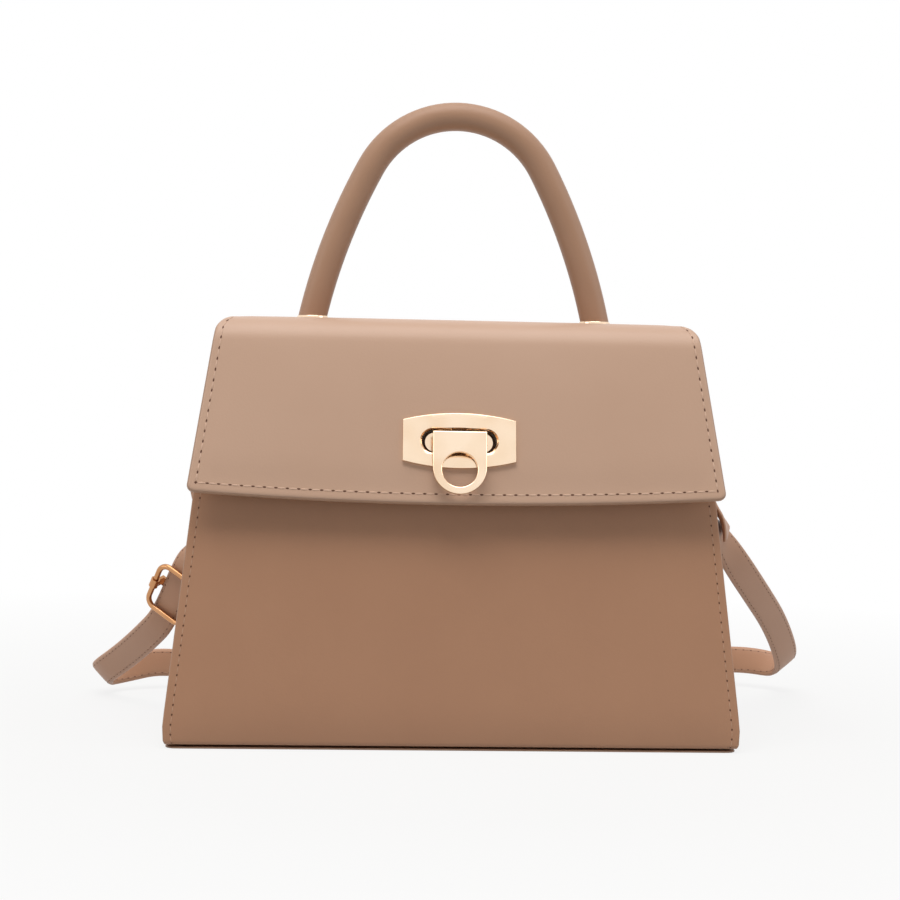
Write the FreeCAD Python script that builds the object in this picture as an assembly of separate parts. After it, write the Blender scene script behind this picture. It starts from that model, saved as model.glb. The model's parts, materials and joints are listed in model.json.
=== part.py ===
import FreeCAD, Part
import math
import os

# A small leather top handle bag with a flap, a flip lock and a shoulder strap.
# Millimetres. The origin is the middle of the base on the ground, X to the right, Y to the back, Z up.

os.makedirs("parts", exist_ok=True)
Vector = FreeCAD.Vector

# Layers
leather = 1.6  # panels, flap and tail
board = 1.0  # stiffening board behind the leather
lining = 0.8
glue = 0.1  # gap between layers that are glued or sewn together
running_gap = 0.3  # gap between pieces that move on each other

# Body
base_width = 216.6  # front panel at the ground
line_width = 196.4  # front panel at the lower edge of the flap
line_height = 92.0
foot_depth = 92.0  # between the lower corners of the panels, before they are rounded
front_mouth = 30.0  # from the middle plane to the top of the front panel
back_mouth = 30.0
front_height = 149.0
back_height = 154.0
knee_radius = 8.0  # rounded lower edge of the front and back panels
tuck = 20.0  # how far each panel turns in over the base
base_thickness = 2.0
base_rim = 3.0  # the base panel stays this far inside the panels' lower corners
base_corner = 4.0
base_board_gap = 1.0  # from the base board to the tucks and the gussets

# Gussets, the side walls
gusset_leather = 1.4
gusset_inset = 4.5  # from the edge of the panels to the side wall
gusset_flange = 7.0
gusset_height = 147.0

# Stiffeners, linings and pocket
board_low = 18.0
board_high = 142.0
lining_height = 146.0
pocket_width = 120.0
pocket_low = 42.0
pocket_high = 112.0

# Flap
bag_top = 160.0
flap_low = 91.8  # lowest point of the flap, at the middle
flap_bow = 3.4  # how much higher its corners are
flap_low_width = 201.0
flap_top_width = 181.0
flap_gap = 8.6  # from the front panel to the flap's inside, at the flap's lower edge
crown_gap = 1.5  # from the top of the front panel to the flap's inside
crown_radius = 12.0
rear_radius = 5.0
shoulder_radius = 5.0  # rounding of the flap's top corners, seen from the front
tail_low = 126.0
board_margin = 4.0  # from the flap's edge to its board
lining_margin = 0.8

# Lock
lock_height = 114.7
plate_width = 42.0
plate_end_height = 15.4
plate_middle_height = 20.8
plate_thickness = 2.2
plate_edge = 0.7
slot_width = 28.0
slot_height = 8.8
window_margin = 0.8  # how much wider the leather is cut than the slot
post_diameter = 2.0  # posts that hold the plate on the flap
post_clearance = 0.2
backing_thickness = 0.8
backing_margin = 0.7  # from the plate's edge to its backing
slot_end_gap = 1.4  # between the boss and the slot's ends
slot_side_gap = 0.8
boss_recess = 1.5  # from the flap's surface down to the face of the boss
flange_margin = 2.4
flange_thickness = 1.2
rivet_inset = 2.1  # from the end of the boss to the middle of each rivet
rivet_diameter = 2.0
rivet_reach = 4.0  # how far the rivets go into the boss
hinge_height = 2.2  # pin axis above the flap's surface
hinge_pin_diameter = 1.2
hinge_pin_clearance = 0.1
knuckle_width = 5.4
knuckle_radius = 1.0
knuckle_drop = 2.6  # from the pin axis to the lower side of the knuckle
lug_width = 2.0
lug_radius = 1.2
catch_width = 20.0
catch_thickness = 2.0
catch_rise = 3.0  # from the pin axis to the upper edge
catch_drop = 20.5
catch_stand_off = 1.3  # from the pin axis to the back of the catch
catch_edge = 0.6  # rounding of the catch's front edges
finger_hole = 13.0
finger_hole_drop = 11.3
spring_wire = 0.4
spring_radius = 0.95
spring_turns = 2
spring_pitch = 0.88
spring_leg = 2.6

# Handle
handle_spacing = 112.0
handle_rise = 80.6  # from the flap to the middle of the tube at its top
handle_diameter = 11.0
handle_wall = 1.2
handle_crown_radius = 38.0
handle_crown_angle = 62.0  # degrees to each side that the crown's arc covers
handle_depth = 0.0
collar_diameter = 12.0
collar_thickness = 1.6
screw_diameter = 3.0
screw_clearance = 0.2
screw_engagement = 6.0
screw_head = 6.0
screw_head_height = 1.8
handle_plate_length = 22.0
handle_plate_width = 14.0
handle_plate_thickness = 1.2

# Rings that carry the strap
tab_height = 104.0
tab_width = 12.0
tab_length = 17.0
tab_leather = 1.0
ring_wire = 2.2
ring_side_gap = 0.6  # from the strap to the ring's rounded corners
ring_corner = 2.2
ring_drop = 9.0
ring_tilt = 14.0  # degrees that the ring stands out from the side wall
ring_clearance = 0.15
tab_rivet_rise = 9.0
tab_rivet_diameter = 2.4
tab_rivet_head = 5.0
tab_rivet_head_height = 0.8

# Strap
strap_width = 12.0
strap_thickness = 2.2
strap_loop_clearance = 0.2
# Middle line from below each ring's loop to the fold at the ground
right_route = [(101.5, 0.5, 87.5), (108, 6.5, 77), (118, 19, 65)]
right_route += [(129.5, 39, 51.5), (145, 68, 34), (158.5, 103, 11.5)]
left_route = [(-98.6, 0.5, 86.5), (-99.8, 5, 75.5), (-103.7, 11.4, 62)]
left_route += [(-113, 23.2, 40), (-128.5, 50, 24.5), (-143.5, 75, 9)]
right_fold_width = (0.78, 0.0, 0.62)  # direction across the strap at the fold
left_fold_width = (0.75, -0.3, -0.6)
# Stretch on the ground behind the bag, standing on its edge
hank_half_length = 104.0
hank_front = 102.0
hank_step = 16.0
hank_runs = 3
turn_share = 0.45  # share of the shorter run at each corner that its round turn takes
hank_lead_right = [(157.5, 103.5), (140, 122), (112, 134)]
hank_lead_left = [(-92, 102), (-120, 95), (-142, 76)]

# Slide on the strap
slide_wire = 2.2
slide_side_gap = 1.7  # from the strap to the sides of the slide
slide_length = 20.0
slide_corner = 4.0
slide_place = 0.5  # share of the way from the third to the fourth point of the left route
slide_bar_width = 3.6
slide_bar_thickness = 1.2
slide_collar = 3.6

# Worked out from the sizes above
reach = 200.0  # longer than any piece, for cutting
drill = 10.0  # longer than the walls are thick, for holes
seat = base_thickness + glue  # the panels' tucks lie on the base at this height
board_depth = leather + glue  # depth of the boards and gusset flanges below the panels' surface
backing_depth = board_depth + board + glue
lining_depth = backing_depth + backing_thickness + glue
flap_lining_depth = board_depth + board + glue
flap_thickness = flap_lining_depth + lining
side_slope = (base_width - line_width) / 2 / line_height
flap_slope = (flap_low_width - flap_top_width) / 2 / (bag_top - flap_low)
post_x = (slot_width + plate_width) / 4
backing_width = plate_width - 2 * backing_margin
backing_height = plate_end_height - 2 * backing_margin
boss_width = slot_width - 2 * slot_end_gap
boss_height = slot_height - 2 * slot_side_gap
flange_width = boss_width + 2 * flange_margin
flange_height = boss_height + 2 * flange_margin
rivet_x = boss_width / 2 - rivet_inset
spring_width = spring_pitch * (spring_turns + 0.25) + spring_wire
lug_inside = knuckle_width / 2 + spring_width + 2 * running_gap  # from the middle to each lug
# The next two are between the middles of the sides
ring_width = max(strap_width, tab_width) + 2 * (ring_corner + ring_side_gap)
slide_width = strap_width + slide_wire + 2 * slide_side_gap


def save(name, shape):
    shape.exportStep("parts/" + name + ".step")


def mirrored(shape):
    return shape.mirror(Vector(0, 0, 0), Vector(1, 0, 0))


# Paths in the side view. The inside of the bag is on the right of the direction of travel.
def moved_inward(points, depth):
    lines = []
    for start, end in zip(points, points[1:]):
        along = (end - start).normalize()
        inward = Vector(0, along.z, -along.y)
        lines.append((start + inward * depth, end + inward * depth, along))
    moved = [lines[0][0]]
    for (start, _, along), (other, _, across) in zip(lines, lines[1:]):
        turn = along.y * across.z - along.z * across.y
        length = ((other.y - start.y) * across.z - (other.z - start.z) * across.y) / turn
        moved.append(start + along * length)
    moved.append(lines[-1][1])
    return moved


def halfway_on_arc(centre, start, end, radius):
    return centre + ((start - centre) + (end - centre)).normalize() * radius


def path_segments(points, radii, depth):
    """Lines and half arcs, each as start, middle or None, and end."""
    corners = moved_inward(points, depth)
    segments = []
    start = corners[0]
    for before, corner, after, radius in zip(corners, corners[1:], corners[2:], radii):
        back = (before - corner).normalize()
        ahead = (after - corner).normalize()
        half_angle = back.getAngle(ahead) / 2
        bend = radius - depth
        inward = (back + ahead).normalize()
        centre = corner + inward * (bend / math.sin(half_angle))
        first = corner + back * (bend / math.tan(half_angle))
        crest = centre - inward * bend
        last = corner + ahead * (bend / math.tan(half_angle))
        segments.append((start, None, first))
        segments.append((first, halfway_on_arc(centre, first, crest, bend), crest))
        segments.append((crest, halfway_on_arc(centre, crest, last, bend), last))
        start = last
    segments.append((start, None, corners[-1]))
    return segments


def edge(start, middle, end):
    if middle is None:
        return Part.LineSegment(start, end).toShape()
    return Part.Arc(start, middle, end).toShape()


def layer(points, radii, near, far, part):
    """A sheet between two depths below a part of a path, as wide as the cutting reach."""
    outer = path_segments(points, radii, near)[part]
    inner = path_segments(points, radii, far)[part]
    edges = [edge(*segment) for segment in outer]
    edges.append(edge(outer[-1][2], None, inner[-1][2]))
    edges += [edge(end, middle, start) for start, middle, end in reversed(inner)]
    edges.append(edge(inner[0][0], None, outer[0][0]))
    face = Part.Face(Part.Wire(edges))
    return face.translated(Vector(-reach, 0, 0)).extrude(Vector(2 * reach, 0, 0))


def filled_path(points, radii, depth):
    """The whole section inside a path, closed from its end to its start, as wide as the cutting reach."""
    segments = path_segments(points, radii, depth)
    edges = [edge(*segment) for segment in segments]
    edges.append(edge(segments[-1][2], None, segments[0][0]))
    face = Part.Face(Part.Wire(edges))
    return face.translated(Vector(-reach, 0, 0)).extrude(Vector(2 * reach, 0, 0))


def at_height(start, end, height):
    share = (height - start.z) / (end.z - start.z)
    return start + (end - start) * share


front_corner = Vector(0, -foot_depth / 2, seat)
back_corner = Vector(0, foot_depth / 2, seat)
front_top = Vector(0, -front_mouth, front_height)
back_top = Vector(0, back_mouth, back_height)


def body_path(height):
    top_back = at_height(back_corner, back_top, height)
    top_front = at_height(front_corner, front_top, height)
    return [top_back, back_corner, front_corner, top_front]


body_radii = [knee_radius, knee_radius]
front_path = [front_corner + Vector(0, tuck, 0), front_corner, front_top]
back_path = [back_top, back_corner, back_corner - Vector(0, tuck, 0)]
tail_line = moved_inward([back_top, back_corner], -(leather + glue))
rear_corner = at_height(tail_line[0], tail_line[1], bag_top)
tail_end = at_height(tail_line[0], tail_line[1], tail_low)
panel_at_low = at_height(front_corner, front_top, flap_low)
flap_foot = panel_at_low - Vector(0, flap_gap + flap_thickness, 0)
flap_brow = front_top - Vector(0, crown_gap + flap_thickness, 0)
crown_corner = at_height(flap_foot, flap_brow, bag_top)
flap_path = [flap_foot, crown_corner, rear_corner, tail_end]
flap_radii = [crown_radius, rear_radius]
# The flap's path is a line, two half arcs, a line, two half arcs and a line
front_part = slice(0, 2)
top_part = slice(2, 5)
tail_part = slice(5, 7)
front_line = slice(0, 1)
top_line = slice(3, 4)
top_before_rear = slice(2, 4)
whole_path = slice(None)


# Outlines in the front view, as prisms along Y
def half_width(height):
    return base_width / 2 - side_slope * height


def flap_half_width(height):
    return flap_low_width / 2 - flap_slope * (height - flap_low)


def prism(corners):
    wire = Part.makePolygon([Vector(x, -reach, z) for x, z in corners + corners[:1]])
    return Part.Face(wire).extrude(Vector(0, 2 * reach, 0))


def panel_outline(inset, low, high):
    wide = half_width(low) - inset
    narrow = half_width(high) - inset
    return prism([(-wide, low), (wide, low), (narrow, high), (-narrow, high)])


def side_slab(outside, inside):
    """Between two depths from the right edge of the panels, leaning with it."""
    low, high = -reach, reach
    near, far = half_width(low), half_width(high)
    return prism([(near - outside, low), (far - outside, high), (far - inside, high), (near - inside, low)])


def flap_outline(margin, round_shoulders):
    low = flap_low + flap_bow + margin
    wide = flap_half_width(low) - margin
    narrow = flap_half_width(bag_top) - margin
    left, right = Vector(-wide, -reach, low), Vector(wide, -reach, low)
    corner_right, corner_left = Vector(narrow, -reach, bag_top), Vector(-narrow, -reach, bag_top)
    edges = [
        edge(left, Vector(0, -reach, flap_low + margin), right),
        edge(right, None, corner_right),
        edge(corner_right, None, corner_left),
        edge(corner_left, None, left),
    ]
    solid = Part.Face(Part.Wire(edges)).extrude(Vector(0, 2 * reach, 0))
    if round_shoulders:
        along_y = [e for e in solid.Edges if is_along_y(e)]
        shoulders = [e for e in along_y if e.Vertexes[0].Z > bag_top - shoulder_radius]
        solid = solid.makeFillet(shoulder_radius, shoulders)
    return solid


def is_along_y(e):
    ends = [v.Point for v in e.Vertexes]
    return len(ends) == 2 and abs(ends[0].y - ends[1].y) > reach


# Solids in a local frame: x across, y up along the surface, z out of it
def block(x_size, y_low, y_high, z_low, z_high):
    return Part.makeBox(x_size, y_high - y_low, z_high - z_low, Vector(-x_size / 2, y_low, z_low))


def upright_cylinder(diameter, x, y, low, high):
    return Part.makeCylinder(diameter / 2, high - low, Vector(x, y, low))


def cross_cylinder(radius, length, y, z):
    return Part.makeCylinder(radius, length, Vector(-length / 2, y, z), Vector(1, 0, 0))


def lengthwise_cylinder(radius, length, x, z):
    return Part.makeCylinder(radius, length, Vector(x, -length / 2, z), Vector(0, 1, 0))


def stadium(width, height, low, high):
    straight = (width - height) / 2
    middle = Part.makeBox(2 * straight, height, high - low, Vector(-straight, -height / 2, low))
    ends = [upright_cylinder(height, side * straight, 0, low, high) for side in (-1, 1)]
    return middle.fuse(ends).removeSplitter()


def placed(shape, frame):
    moved = shape.copy()
    moved.Placement = frame.multiply(moved.Placement)
    return moved


def frame_of(origin, across, up, out):
    matrix = FreeCAD.Matrix(
        across.x, up.x, out.x, origin.x,
        across.y, up.y, out.y, origin.y,
        across.z, up.z, out.z, origin.z,
        0, 0, 0, 1,
    )
    return FreeCAD.Placement(matrix)


def rounded_loop(corners, radii):
    """A closed wire in the local XY plane with rounded corners."""
    edges = []
    ends = []
    count = len(corners)
    for i, (corner, radius) in enumerate(zip(corners, radii)):
        back = (corners[i - 1] - corner).normalize()
        ahead = (corners[(i + 1) % count] - corner).normalize()
        half_angle = back.getAngle(ahead) / 2
        inward = (back + ahead).normalize()
        centre = corner + inward * (radius / math.sin(half_angle))
        setback = radius / math.tan(half_angle)
        ends.append((corner + back * setback, centre - inward * radius, corner + ahead * setback))
    for i, (first, crest, last) in enumerate(ends):
        edges.append(edge(first, crest, last))
        edges.append(edge(last, None, ends[(i + 1) % count][0]))
    return Part.Wire(edges)


def wire_ring(width, low, high, out, radius, diameter):
    """A rectangular ring of round wire with rounded corners."""
    x = width / 2
    corners = [Vector(-x, low, out), Vector(x, low, out), Vector(x, high, out), Vector(-x, high, out)]
    path = rounded_loop(corners, [radius] * 4)
    start = path.Edges[1]
    middle = start.valueAt((start.FirstParameter + start.LastParameter) / 2)
    direction = start.tangentAt(start.FirstParameter)
    first_half = Part.LineSegment(middle, start.lastVertex(True).Point).toShape()
    second_half = Part.LineSegment(start.firstVertex(True).Point, middle).toShape()
    ordered = [first_half] + path.Edges[2:] + path.Edges[:1] + [second_half]
    section = Part.Wire(Part.makeCircle(diameter / 2, middle, direction))
    return Part.Wire(ordered).makePipeShell([section], True, False)


# Frames of the lock: on the flap's surface and on the front panel's surface
lock_origin = at_height(flap_foot, crown_corner, lock_height)
flap_up = (crown_corner - flap_foot).normalize()
flap_out = Vector(0, -flap_up.z, flap_up.y)
across = Vector(1, 0, 0)
lock_frame = frame_of(lock_origin, across, flap_up, flap_out)
panel_up = (front_top - front_corner).normalize()
panel_out = Vector(0, -panel_up.z, panel_up.y)
lock_gap = (lock_origin - front_corner).dot(panel_out) / flap_out.dot(panel_out)
panel_frame = frame_of(lock_origin - flap_out * lock_gap, across, panel_up, panel_out)

rivet_hole = rivet_diameter + post_clearance
rivet_holes = Part.makeCompound(
    [
        placed(upright_cylinder(rivet_hole, side * rivet_x, 0, -drill, rivet_reach + glue), panel_frame)
        for side in (-1, 1)
    ]
)
post_hole = post_diameter + post_clearance
window = stadium(slot_width + 2 * window_margin, slot_height + 2 * window_margin, -drill, drill)
post_holes = [upright_cylinder(post_hole, side * post_x, 0, -drill, drill) for side in (-1, 1)]
flap_cutout = placed(window.fuse(post_holes), lock_frame)
handle_feet = [Vector(side * handle_spacing / 2, handle_depth, bag_top) for side in (-1, 1)]
screw_hole = screw_diameter + screw_clearance
screw_holes = Part.makeCompound(
    [upright_cylinder(screw_hole, foot.x, foot.y, bag_top - drill, bag_top + drill) for foot in handle_feet]
)


# Body panels
def make_body():
    rim_depth = foot_depth / 2 - base_rim
    rim_width = half_width(0) - base_rim
    base = Part.makeBox(2 * rim_width, 2 * rim_depth, base_thickness, Vector(-rim_width, -rim_depth, 0))
    uprights = [e for e in base.Edges if abs(e.Vertexes[0].Z - e.Vertexes[1].Z) > base_thickness / 2]
    save("base_panel", base.makeFillet(base_corner, uprights))

    outline = panel_outline(0, 0, bag_top)
    front = layer(front_path, [knee_radius], 0, leather, whole_path).common(outline)
    save("front_panel", front.cut(rivet_holes))
    save("back_panel", layer(back_path, [knee_radius], 0, leather, whole_path).common(outline))
    save("flap_tail", layer(flap_path, flap_radii, 0, leather, tail_part).common(outline))

    board_width = half_width(0) - gusset_inset - gusset_leather - base_board_gap
    board_span = foot_depth / 2 - tuck - base_board_gap
    lowest = seat + leather - board
    place = Vector(-board_width, -board_span, lowest)
    save("base_board", Part.makeBox(2 * board_width, 2 * board_span, board, place))

    outline = panel_outline(gusset_inset + gusset_flange + glue, board_low, board_high)
    far = board_depth + board
    front_board = layer(front_path, [knee_radius], board_depth, far, whole_path).common(outline)
    save("front_board", front_board.cut(rivet_holes))
    save("back_board", layer(back_path, [knee_radius], board_depth, far, whole_path).common(outline))


def make_gussets(tab_hole):
    outer = filled_path(body_path(gusset_height), body_radii, board_depth)
    inner = filled_path(body_path(gusset_height + reach / 4), body_radii, board_depth + gusset_leather)
    rim = side_slab(gusset_inset, gusset_inset + gusset_flange)
    hollow = side_slab(gusset_inset + gusset_leather, gusset_inset + 2 * gusset_flange)
    right = outer.common(rim).cut(inner.common(hollow)).cut(tab_hole)
    save("right_gusset", right)
    save("left_gusset", mirrored(right))


def make_lining(tab_hole):
    side_depth = gusset_inset + gusset_leather + glue
    outline = panel_outline(side_depth, 0, lining_height)
    body = layer(body_path(lining_height), body_radii, lining_depth, lining_depth + lining, whole_path)
    save("lining_body", body.common(outline))
    inside = filled_path(body_path(lining_height), body_radii, lining_depth + lining + glue)
    right = inside.common(side_slab(side_depth, side_depth + lining)).cut(tab_hole)
    save("lining_right", right)
    save("lining_left", mirrored(right))
    pocket_depth = lining_depth + lining + glue
    pocket = layer(back_path, [knee_radius], pocket_depth, pocket_depth + lining, whole_path)
    save("slip_pocket", pocket.common(block_between(pocket_width, pocket_low, pocket_high)))


def block_between(width, low, high):
    return Part.makeBox(width, 2 * reach, high - low, Vector(-width / 2, -reach, low))


# Flap
def make_flap():
    outline = flap_outline(0, True)
    front = layer(flap_path, flap_radii, 0, leather, front_part).common(outline)
    save("flap_front", front.cut(flap_cutout))
    top = layer(flap_path, flap_radii, 0, leather, top_part).common(outline)
    save("flap_top", top.cut(screw_holes))

    outline = flap_outline(board_margin, False)
    stiff_front = layer(flap_path, flap_radii, board_depth, board_depth + board, front_line).common(outline)
    save("flap_front_board", stiff_front.cut(flap_cutout))
    stiff_top = layer(flap_path, flap_radii, board_depth, board_depth + board, top_line)
    save("flap_top_board", stiff_top.common(panel_outline(2 * board_margin, 0, bag_top)).cut(screw_holes))

    outline = flap_outline(lining_margin, False)
    far = flap_lining_depth + lining
    front_lining = layer(flap_path, flap_radii, flap_lining_depth, far, front_part).common(outline)
    save("flap_front_lining", front_lining.cut(flap_cutout))
    top_lining = layer(flap_path, flap_radii, flap_lining_depth, far, top_before_rear)
    save("flap_top_lining", top_lining.common(outline).cut(screw_holes))


def least_gap(path, apart):
    """Between the middle lines of stretches that are further apart along a path than a given length."""
    points = path.discretize(Number=400)
    skip = math.ceil(apart / path.Length * len(points))
    gaps = [p.distanceToPoint(q) for i, p in enumerate(points) for q in points[i + skip:]]
    return min(gaps)


# Flip lock
def boat_plate(width, end_height, middle_height, low, high):
    x, end, middle = width / 2, end_height / 2, middle_height / 2
    edges = [
        edge(Vector(-x, -end, low), Vector(0, -middle, low), Vector(x, -end, low)),
        edge(Vector(x, -end, low), None, Vector(x, end, low)),
        edge(Vector(x, end, low), Vector(0, middle, low), Vector(-x, end, low)),
        edge(Vector(-x, end, low), None, Vector(-x, -end, low)),
    ]
    return Part.Face(Part.Wire(edges)).extrude(Vector(0, 0, high - low))


def rounded_top(solid, radius, height):
    rim = [e for e in solid.Edges if all(abs(v.Z - height) < 1e-6 for v in e.Vertexes)]
    return solid.makeFillet(radius, rim)


def make_plate():
    front = glue + plate_thickness
    plate = boat_plate(plate_width, plate_end_height, plate_middle_height, glue, front)
    plate = plate.cut(stadium(slot_width, slot_height, -drill, drill))
    plate = rounded_top(plate, plate_edge, front)
    backing_front = -flap_thickness - glue
    backing_back = backing_front - backing_thickness
    posts = [upright_cylinder(post_diameter, side * post_x, 0, backing_back, glue) for side in (-1, 1)]
    save("lock_plate", placed(plate.fuse(posts), lock_frame))

    backing = stadium(backing_width, backing_height, backing_back, backing_front)
    backing = backing.cut(stadium(slot_width, slot_height, -drill, drill))
    save("lock_plate_backing", placed(backing.cut(post_holes), lock_frame))


def make_lock_base():
    boss = placed(stadium(boss_width, boss_height, -lock_gap - flange_height, -boss_recess), lock_frame)
    below = placed(block(2 * reach, -reach, reach, -reach, glue), panel_frame)
    flange = stadium(flange_width, flange_height, glue, glue + flange_thickness)
    base = placed(flange, panel_frame).fuse(boss.cut(below)).removeSplitter()
    save("lock_base", base.cut(rivet_holes))

    backing = stadium(flange_width, flange_height, -backing_depth - backing_thickness, -backing_depth)
    save("lock_base_backing", placed(backing, panel_frame).cut(rivet_holes))

    inner_end = -backing_depth - backing_thickness
    rivets = [upright_cylinder(rivet_diameter, side * rivet_x, 0, inner_end, rivet_reach) for side in (-1, 1)]
    save("lock_rivets", Part.makeCompound([placed(rivet, panel_frame) for rivet in rivets]))


def make_catch():
    pin_hole = hinge_pin_diameter / 2 + hinge_pin_clearance
    foot = block(knuckle_width, -knuckle_drop, knuckle_radius, -boss_recess, hinge_height)
    heel = block(knuckle_width, -knuckle_drop, 0, hinge_height, hinge_height + knuckle_radius)
    knuckle = foot.fuse([heel, cross_cylinder(knuckle_radius, knuckle_width, 0, hinge_height)])
    knuckle = knuckle.removeSplitter().cut(cross_cylinder(hinge_pin_diameter / 2, reach, 0, hinge_height))
    save("lock_knuckle", placed(knuckle, lock_frame))

    pin_length = 2 * (lug_inside + lug_width)
    pin = cross_cylinder(hinge_pin_diameter / 2, pin_length, 0, hinge_height)
    save("lock_hinge_pin", placed(pin, lock_frame))

    back = hinge_height + catch_stand_off
    front = back + catch_thickness
    round_end = catch_width / 2 - catch_drop
    plate = block(catch_width, round_end, catch_rise, back, front)
    plate = plate.fuse(upright_cylinder(catch_width, 0, round_end, back, front)).removeSplitter()
    plate = plate.cut(upright_cylinder(finger_hole, 0, -finger_hole_drop, back, front))
    plate = rounded_top(plate, catch_edge, front)
    lugs = []
    for side in (-1, 1):
        middle = Vector(side * (lug_inside + lug_width / 2), 0, 0)
        web = block(lug_width, -lug_radius, lug_radius, hinge_height, back + catch_thickness / 2)
        lug = web.fuse(cross_cylinder(lug_radius, lug_width, 0, hinge_height))
        lugs.append(lug.translated(middle))
    catch = plate.fuse(lugs).removeSplitter().cut(cross_cylinder(pin_hole, reach, 0, hinge_height))
    save("lock_catch", placed(catch, lock_frame))


def make_spring():
    """Two turns of wire round the pin, with one leg on the boss and one behind the catch."""
    start_x = -knuckle_width / 2 - running_gap - spring_wire / 2

    def on_coil(turn):
        angle = 2 * math.pi * turn
        y, z = math.cos(angle) * spring_radius, math.sin(angle) * spring_radius
        return Vector(start_x - spring_pitch * turn, y, hinge_height + z)

    foot = Vector(start_x, spring_radius, -boss_recess + spring_wire / 2 + glue)
    edges = [edge(foot, None, on_coil(0))]
    quarters = 4 * spring_turns + 1
    for i in range(quarters):
        edges.append(edge(on_coil(i / 4), on_coil((i + 0.5) / 4), on_coil((i + 1) / 4)))
    last = on_coil(quarters / 4)
    edges.append(edge(last, None, last + Vector(0, -spring_leg, 0)))
    section = Part.Wire(Part.makeCircle(spring_wire / 2, foot, Vector(0, 0, 1)))
    path = Part.Wire(edges)
    spring = path.makePipeShell([section], True, False)
    print("spring: least gap to itself", round(least_gap(path, math.pi * spring_radius) - spring_wire, 2))
    save("lock_spring", placed(spring, lock_frame))


# Handle
def handle_wire(foot_height):
    crown_height = bag_top + handle_rise
    centre = Vector(0, handle_depth, crown_height - handle_crown_radius)
    turn = math.radians(handle_crown_angle)

    def on_crown(angle):
        return centre + Vector(math.sin(angle), 0, math.cos(angle)) * handle_crown_radius

    edges = [edge(on_crown(-turn), on_crown(0), on_crown(turn))]
    for side in (-1, 1):
        joint = on_crown(side * turn)
        along = Vector(side * math.cos(turn), 0, -math.sin(turn))
        foot = Vector(side * handle_spacing / 2, handle_depth, foot_height)
        chord = foot - joint
        angle = along.getAngle(chord)
        sagitta = chord.Length / 2 * math.tan(angle / 2)
        bulge = Vector(side * -chord.z, 0, side * chord.x) / chord.Length
        edges.append(edge(joint, joint + chord / 2 + bulge * sagitta, foot))
    return Part.Wire(Part.__sortEdges__(edges))


def handle_tube(path, diameter):
    start = path.OrderedEdges[0]
    place = start.firstVertex(True).Point
    section = Part.Wire(Part.makeCircle(diameter / 2, place, start.tangentAt(start.FirstParameter)))
    return path.makePipeShell([section], True, False)


def make_handle():
    seat_height = bag_top + collar_thickness
    path = handle_wire(bag_top - collar_thickness)
    below = Part.makeBox(2 * reach, 2 * reach, reach, Vector(-reach, -reach, seat_height - reach))
    core_diameter = handle_diameter - 2 * handle_wall
    whole = handle_tube(path, handle_diameter)
    sleeve = whole.cut(handle_tube(path, core_diameter)).cut(below)
    save("handle_sleeve", sleeve.cut(screw_holes))
    core = handle_tube(path, core_diameter - 2 * glue).cut(below)
    save("handle_core", core.cut(screw_holes))

    collars = {}
    plates, screws = [], []
    plate_top = bag_top - flap_thickness - glue
    plate_low = plate_top - handle_plate_thickness
    for name, foot in zip(("left", "right"), handle_feet):
        disc = upright_cylinder(collar_diameter, foot.x, foot.y, bag_top, seat_height)
        collars[name] = disc.makeFillet(collar_thickness / 3, disc.Edges).cut(screw_holes)
        plate = stadium(handle_plate_length, handle_plate_width, plate_low, plate_top)
        plates.append(plate.translated(Vector(foot.x, foot.y, 0)).cut(screw_holes))
        shank = upright_cylinder(screw_diameter, foot.x, foot.y, plate_low, seat_height + screw_engagement)
        head = upright_cylinder(screw_head, foot.x, foot.y, plate_low - screw_head_height, plate_low)
        screws.append(shank.fuse(head).removeSplitter())
    save("handle_collar_left", collars["left"])
    save("handle_collar_right", collars["right"])
    save("handle_backing_plates", Part.makeCompound(plates))
    save("handle_screws", Part.makeCompound(screws))


# Rings on the side walls, made on the right and mirrored
wall_up = Vector(-side_slope, 0, 1).normalize()
wall_out = Vector(wall_up.z, 0, -wall_up.x)
wall_origin = Vector(half_width(tab_height) - gusset_inset, 0, tab_height)
wall_frame = frame_of(wall_origin, Vector(0, 1, 0), wall_up, wall_out)
bar_radius = ring_wire / 2
bar_out = glue + tab_leather + ring_clearance + bar_radius
tilt = math.radians(ring_tilt)
ring_low = Vector(0, -ring_drop * math.cos(tilt), bar_out + ring_drop * math.sin(tilt))
tab_rivet_hole = upright_cylinder(tab_rivet_diameter + post_clearance, 0, tab_rivet_rise, -drill, drill)
tab_hole = placed(tab_rivet_hole, wall_frame)


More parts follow.
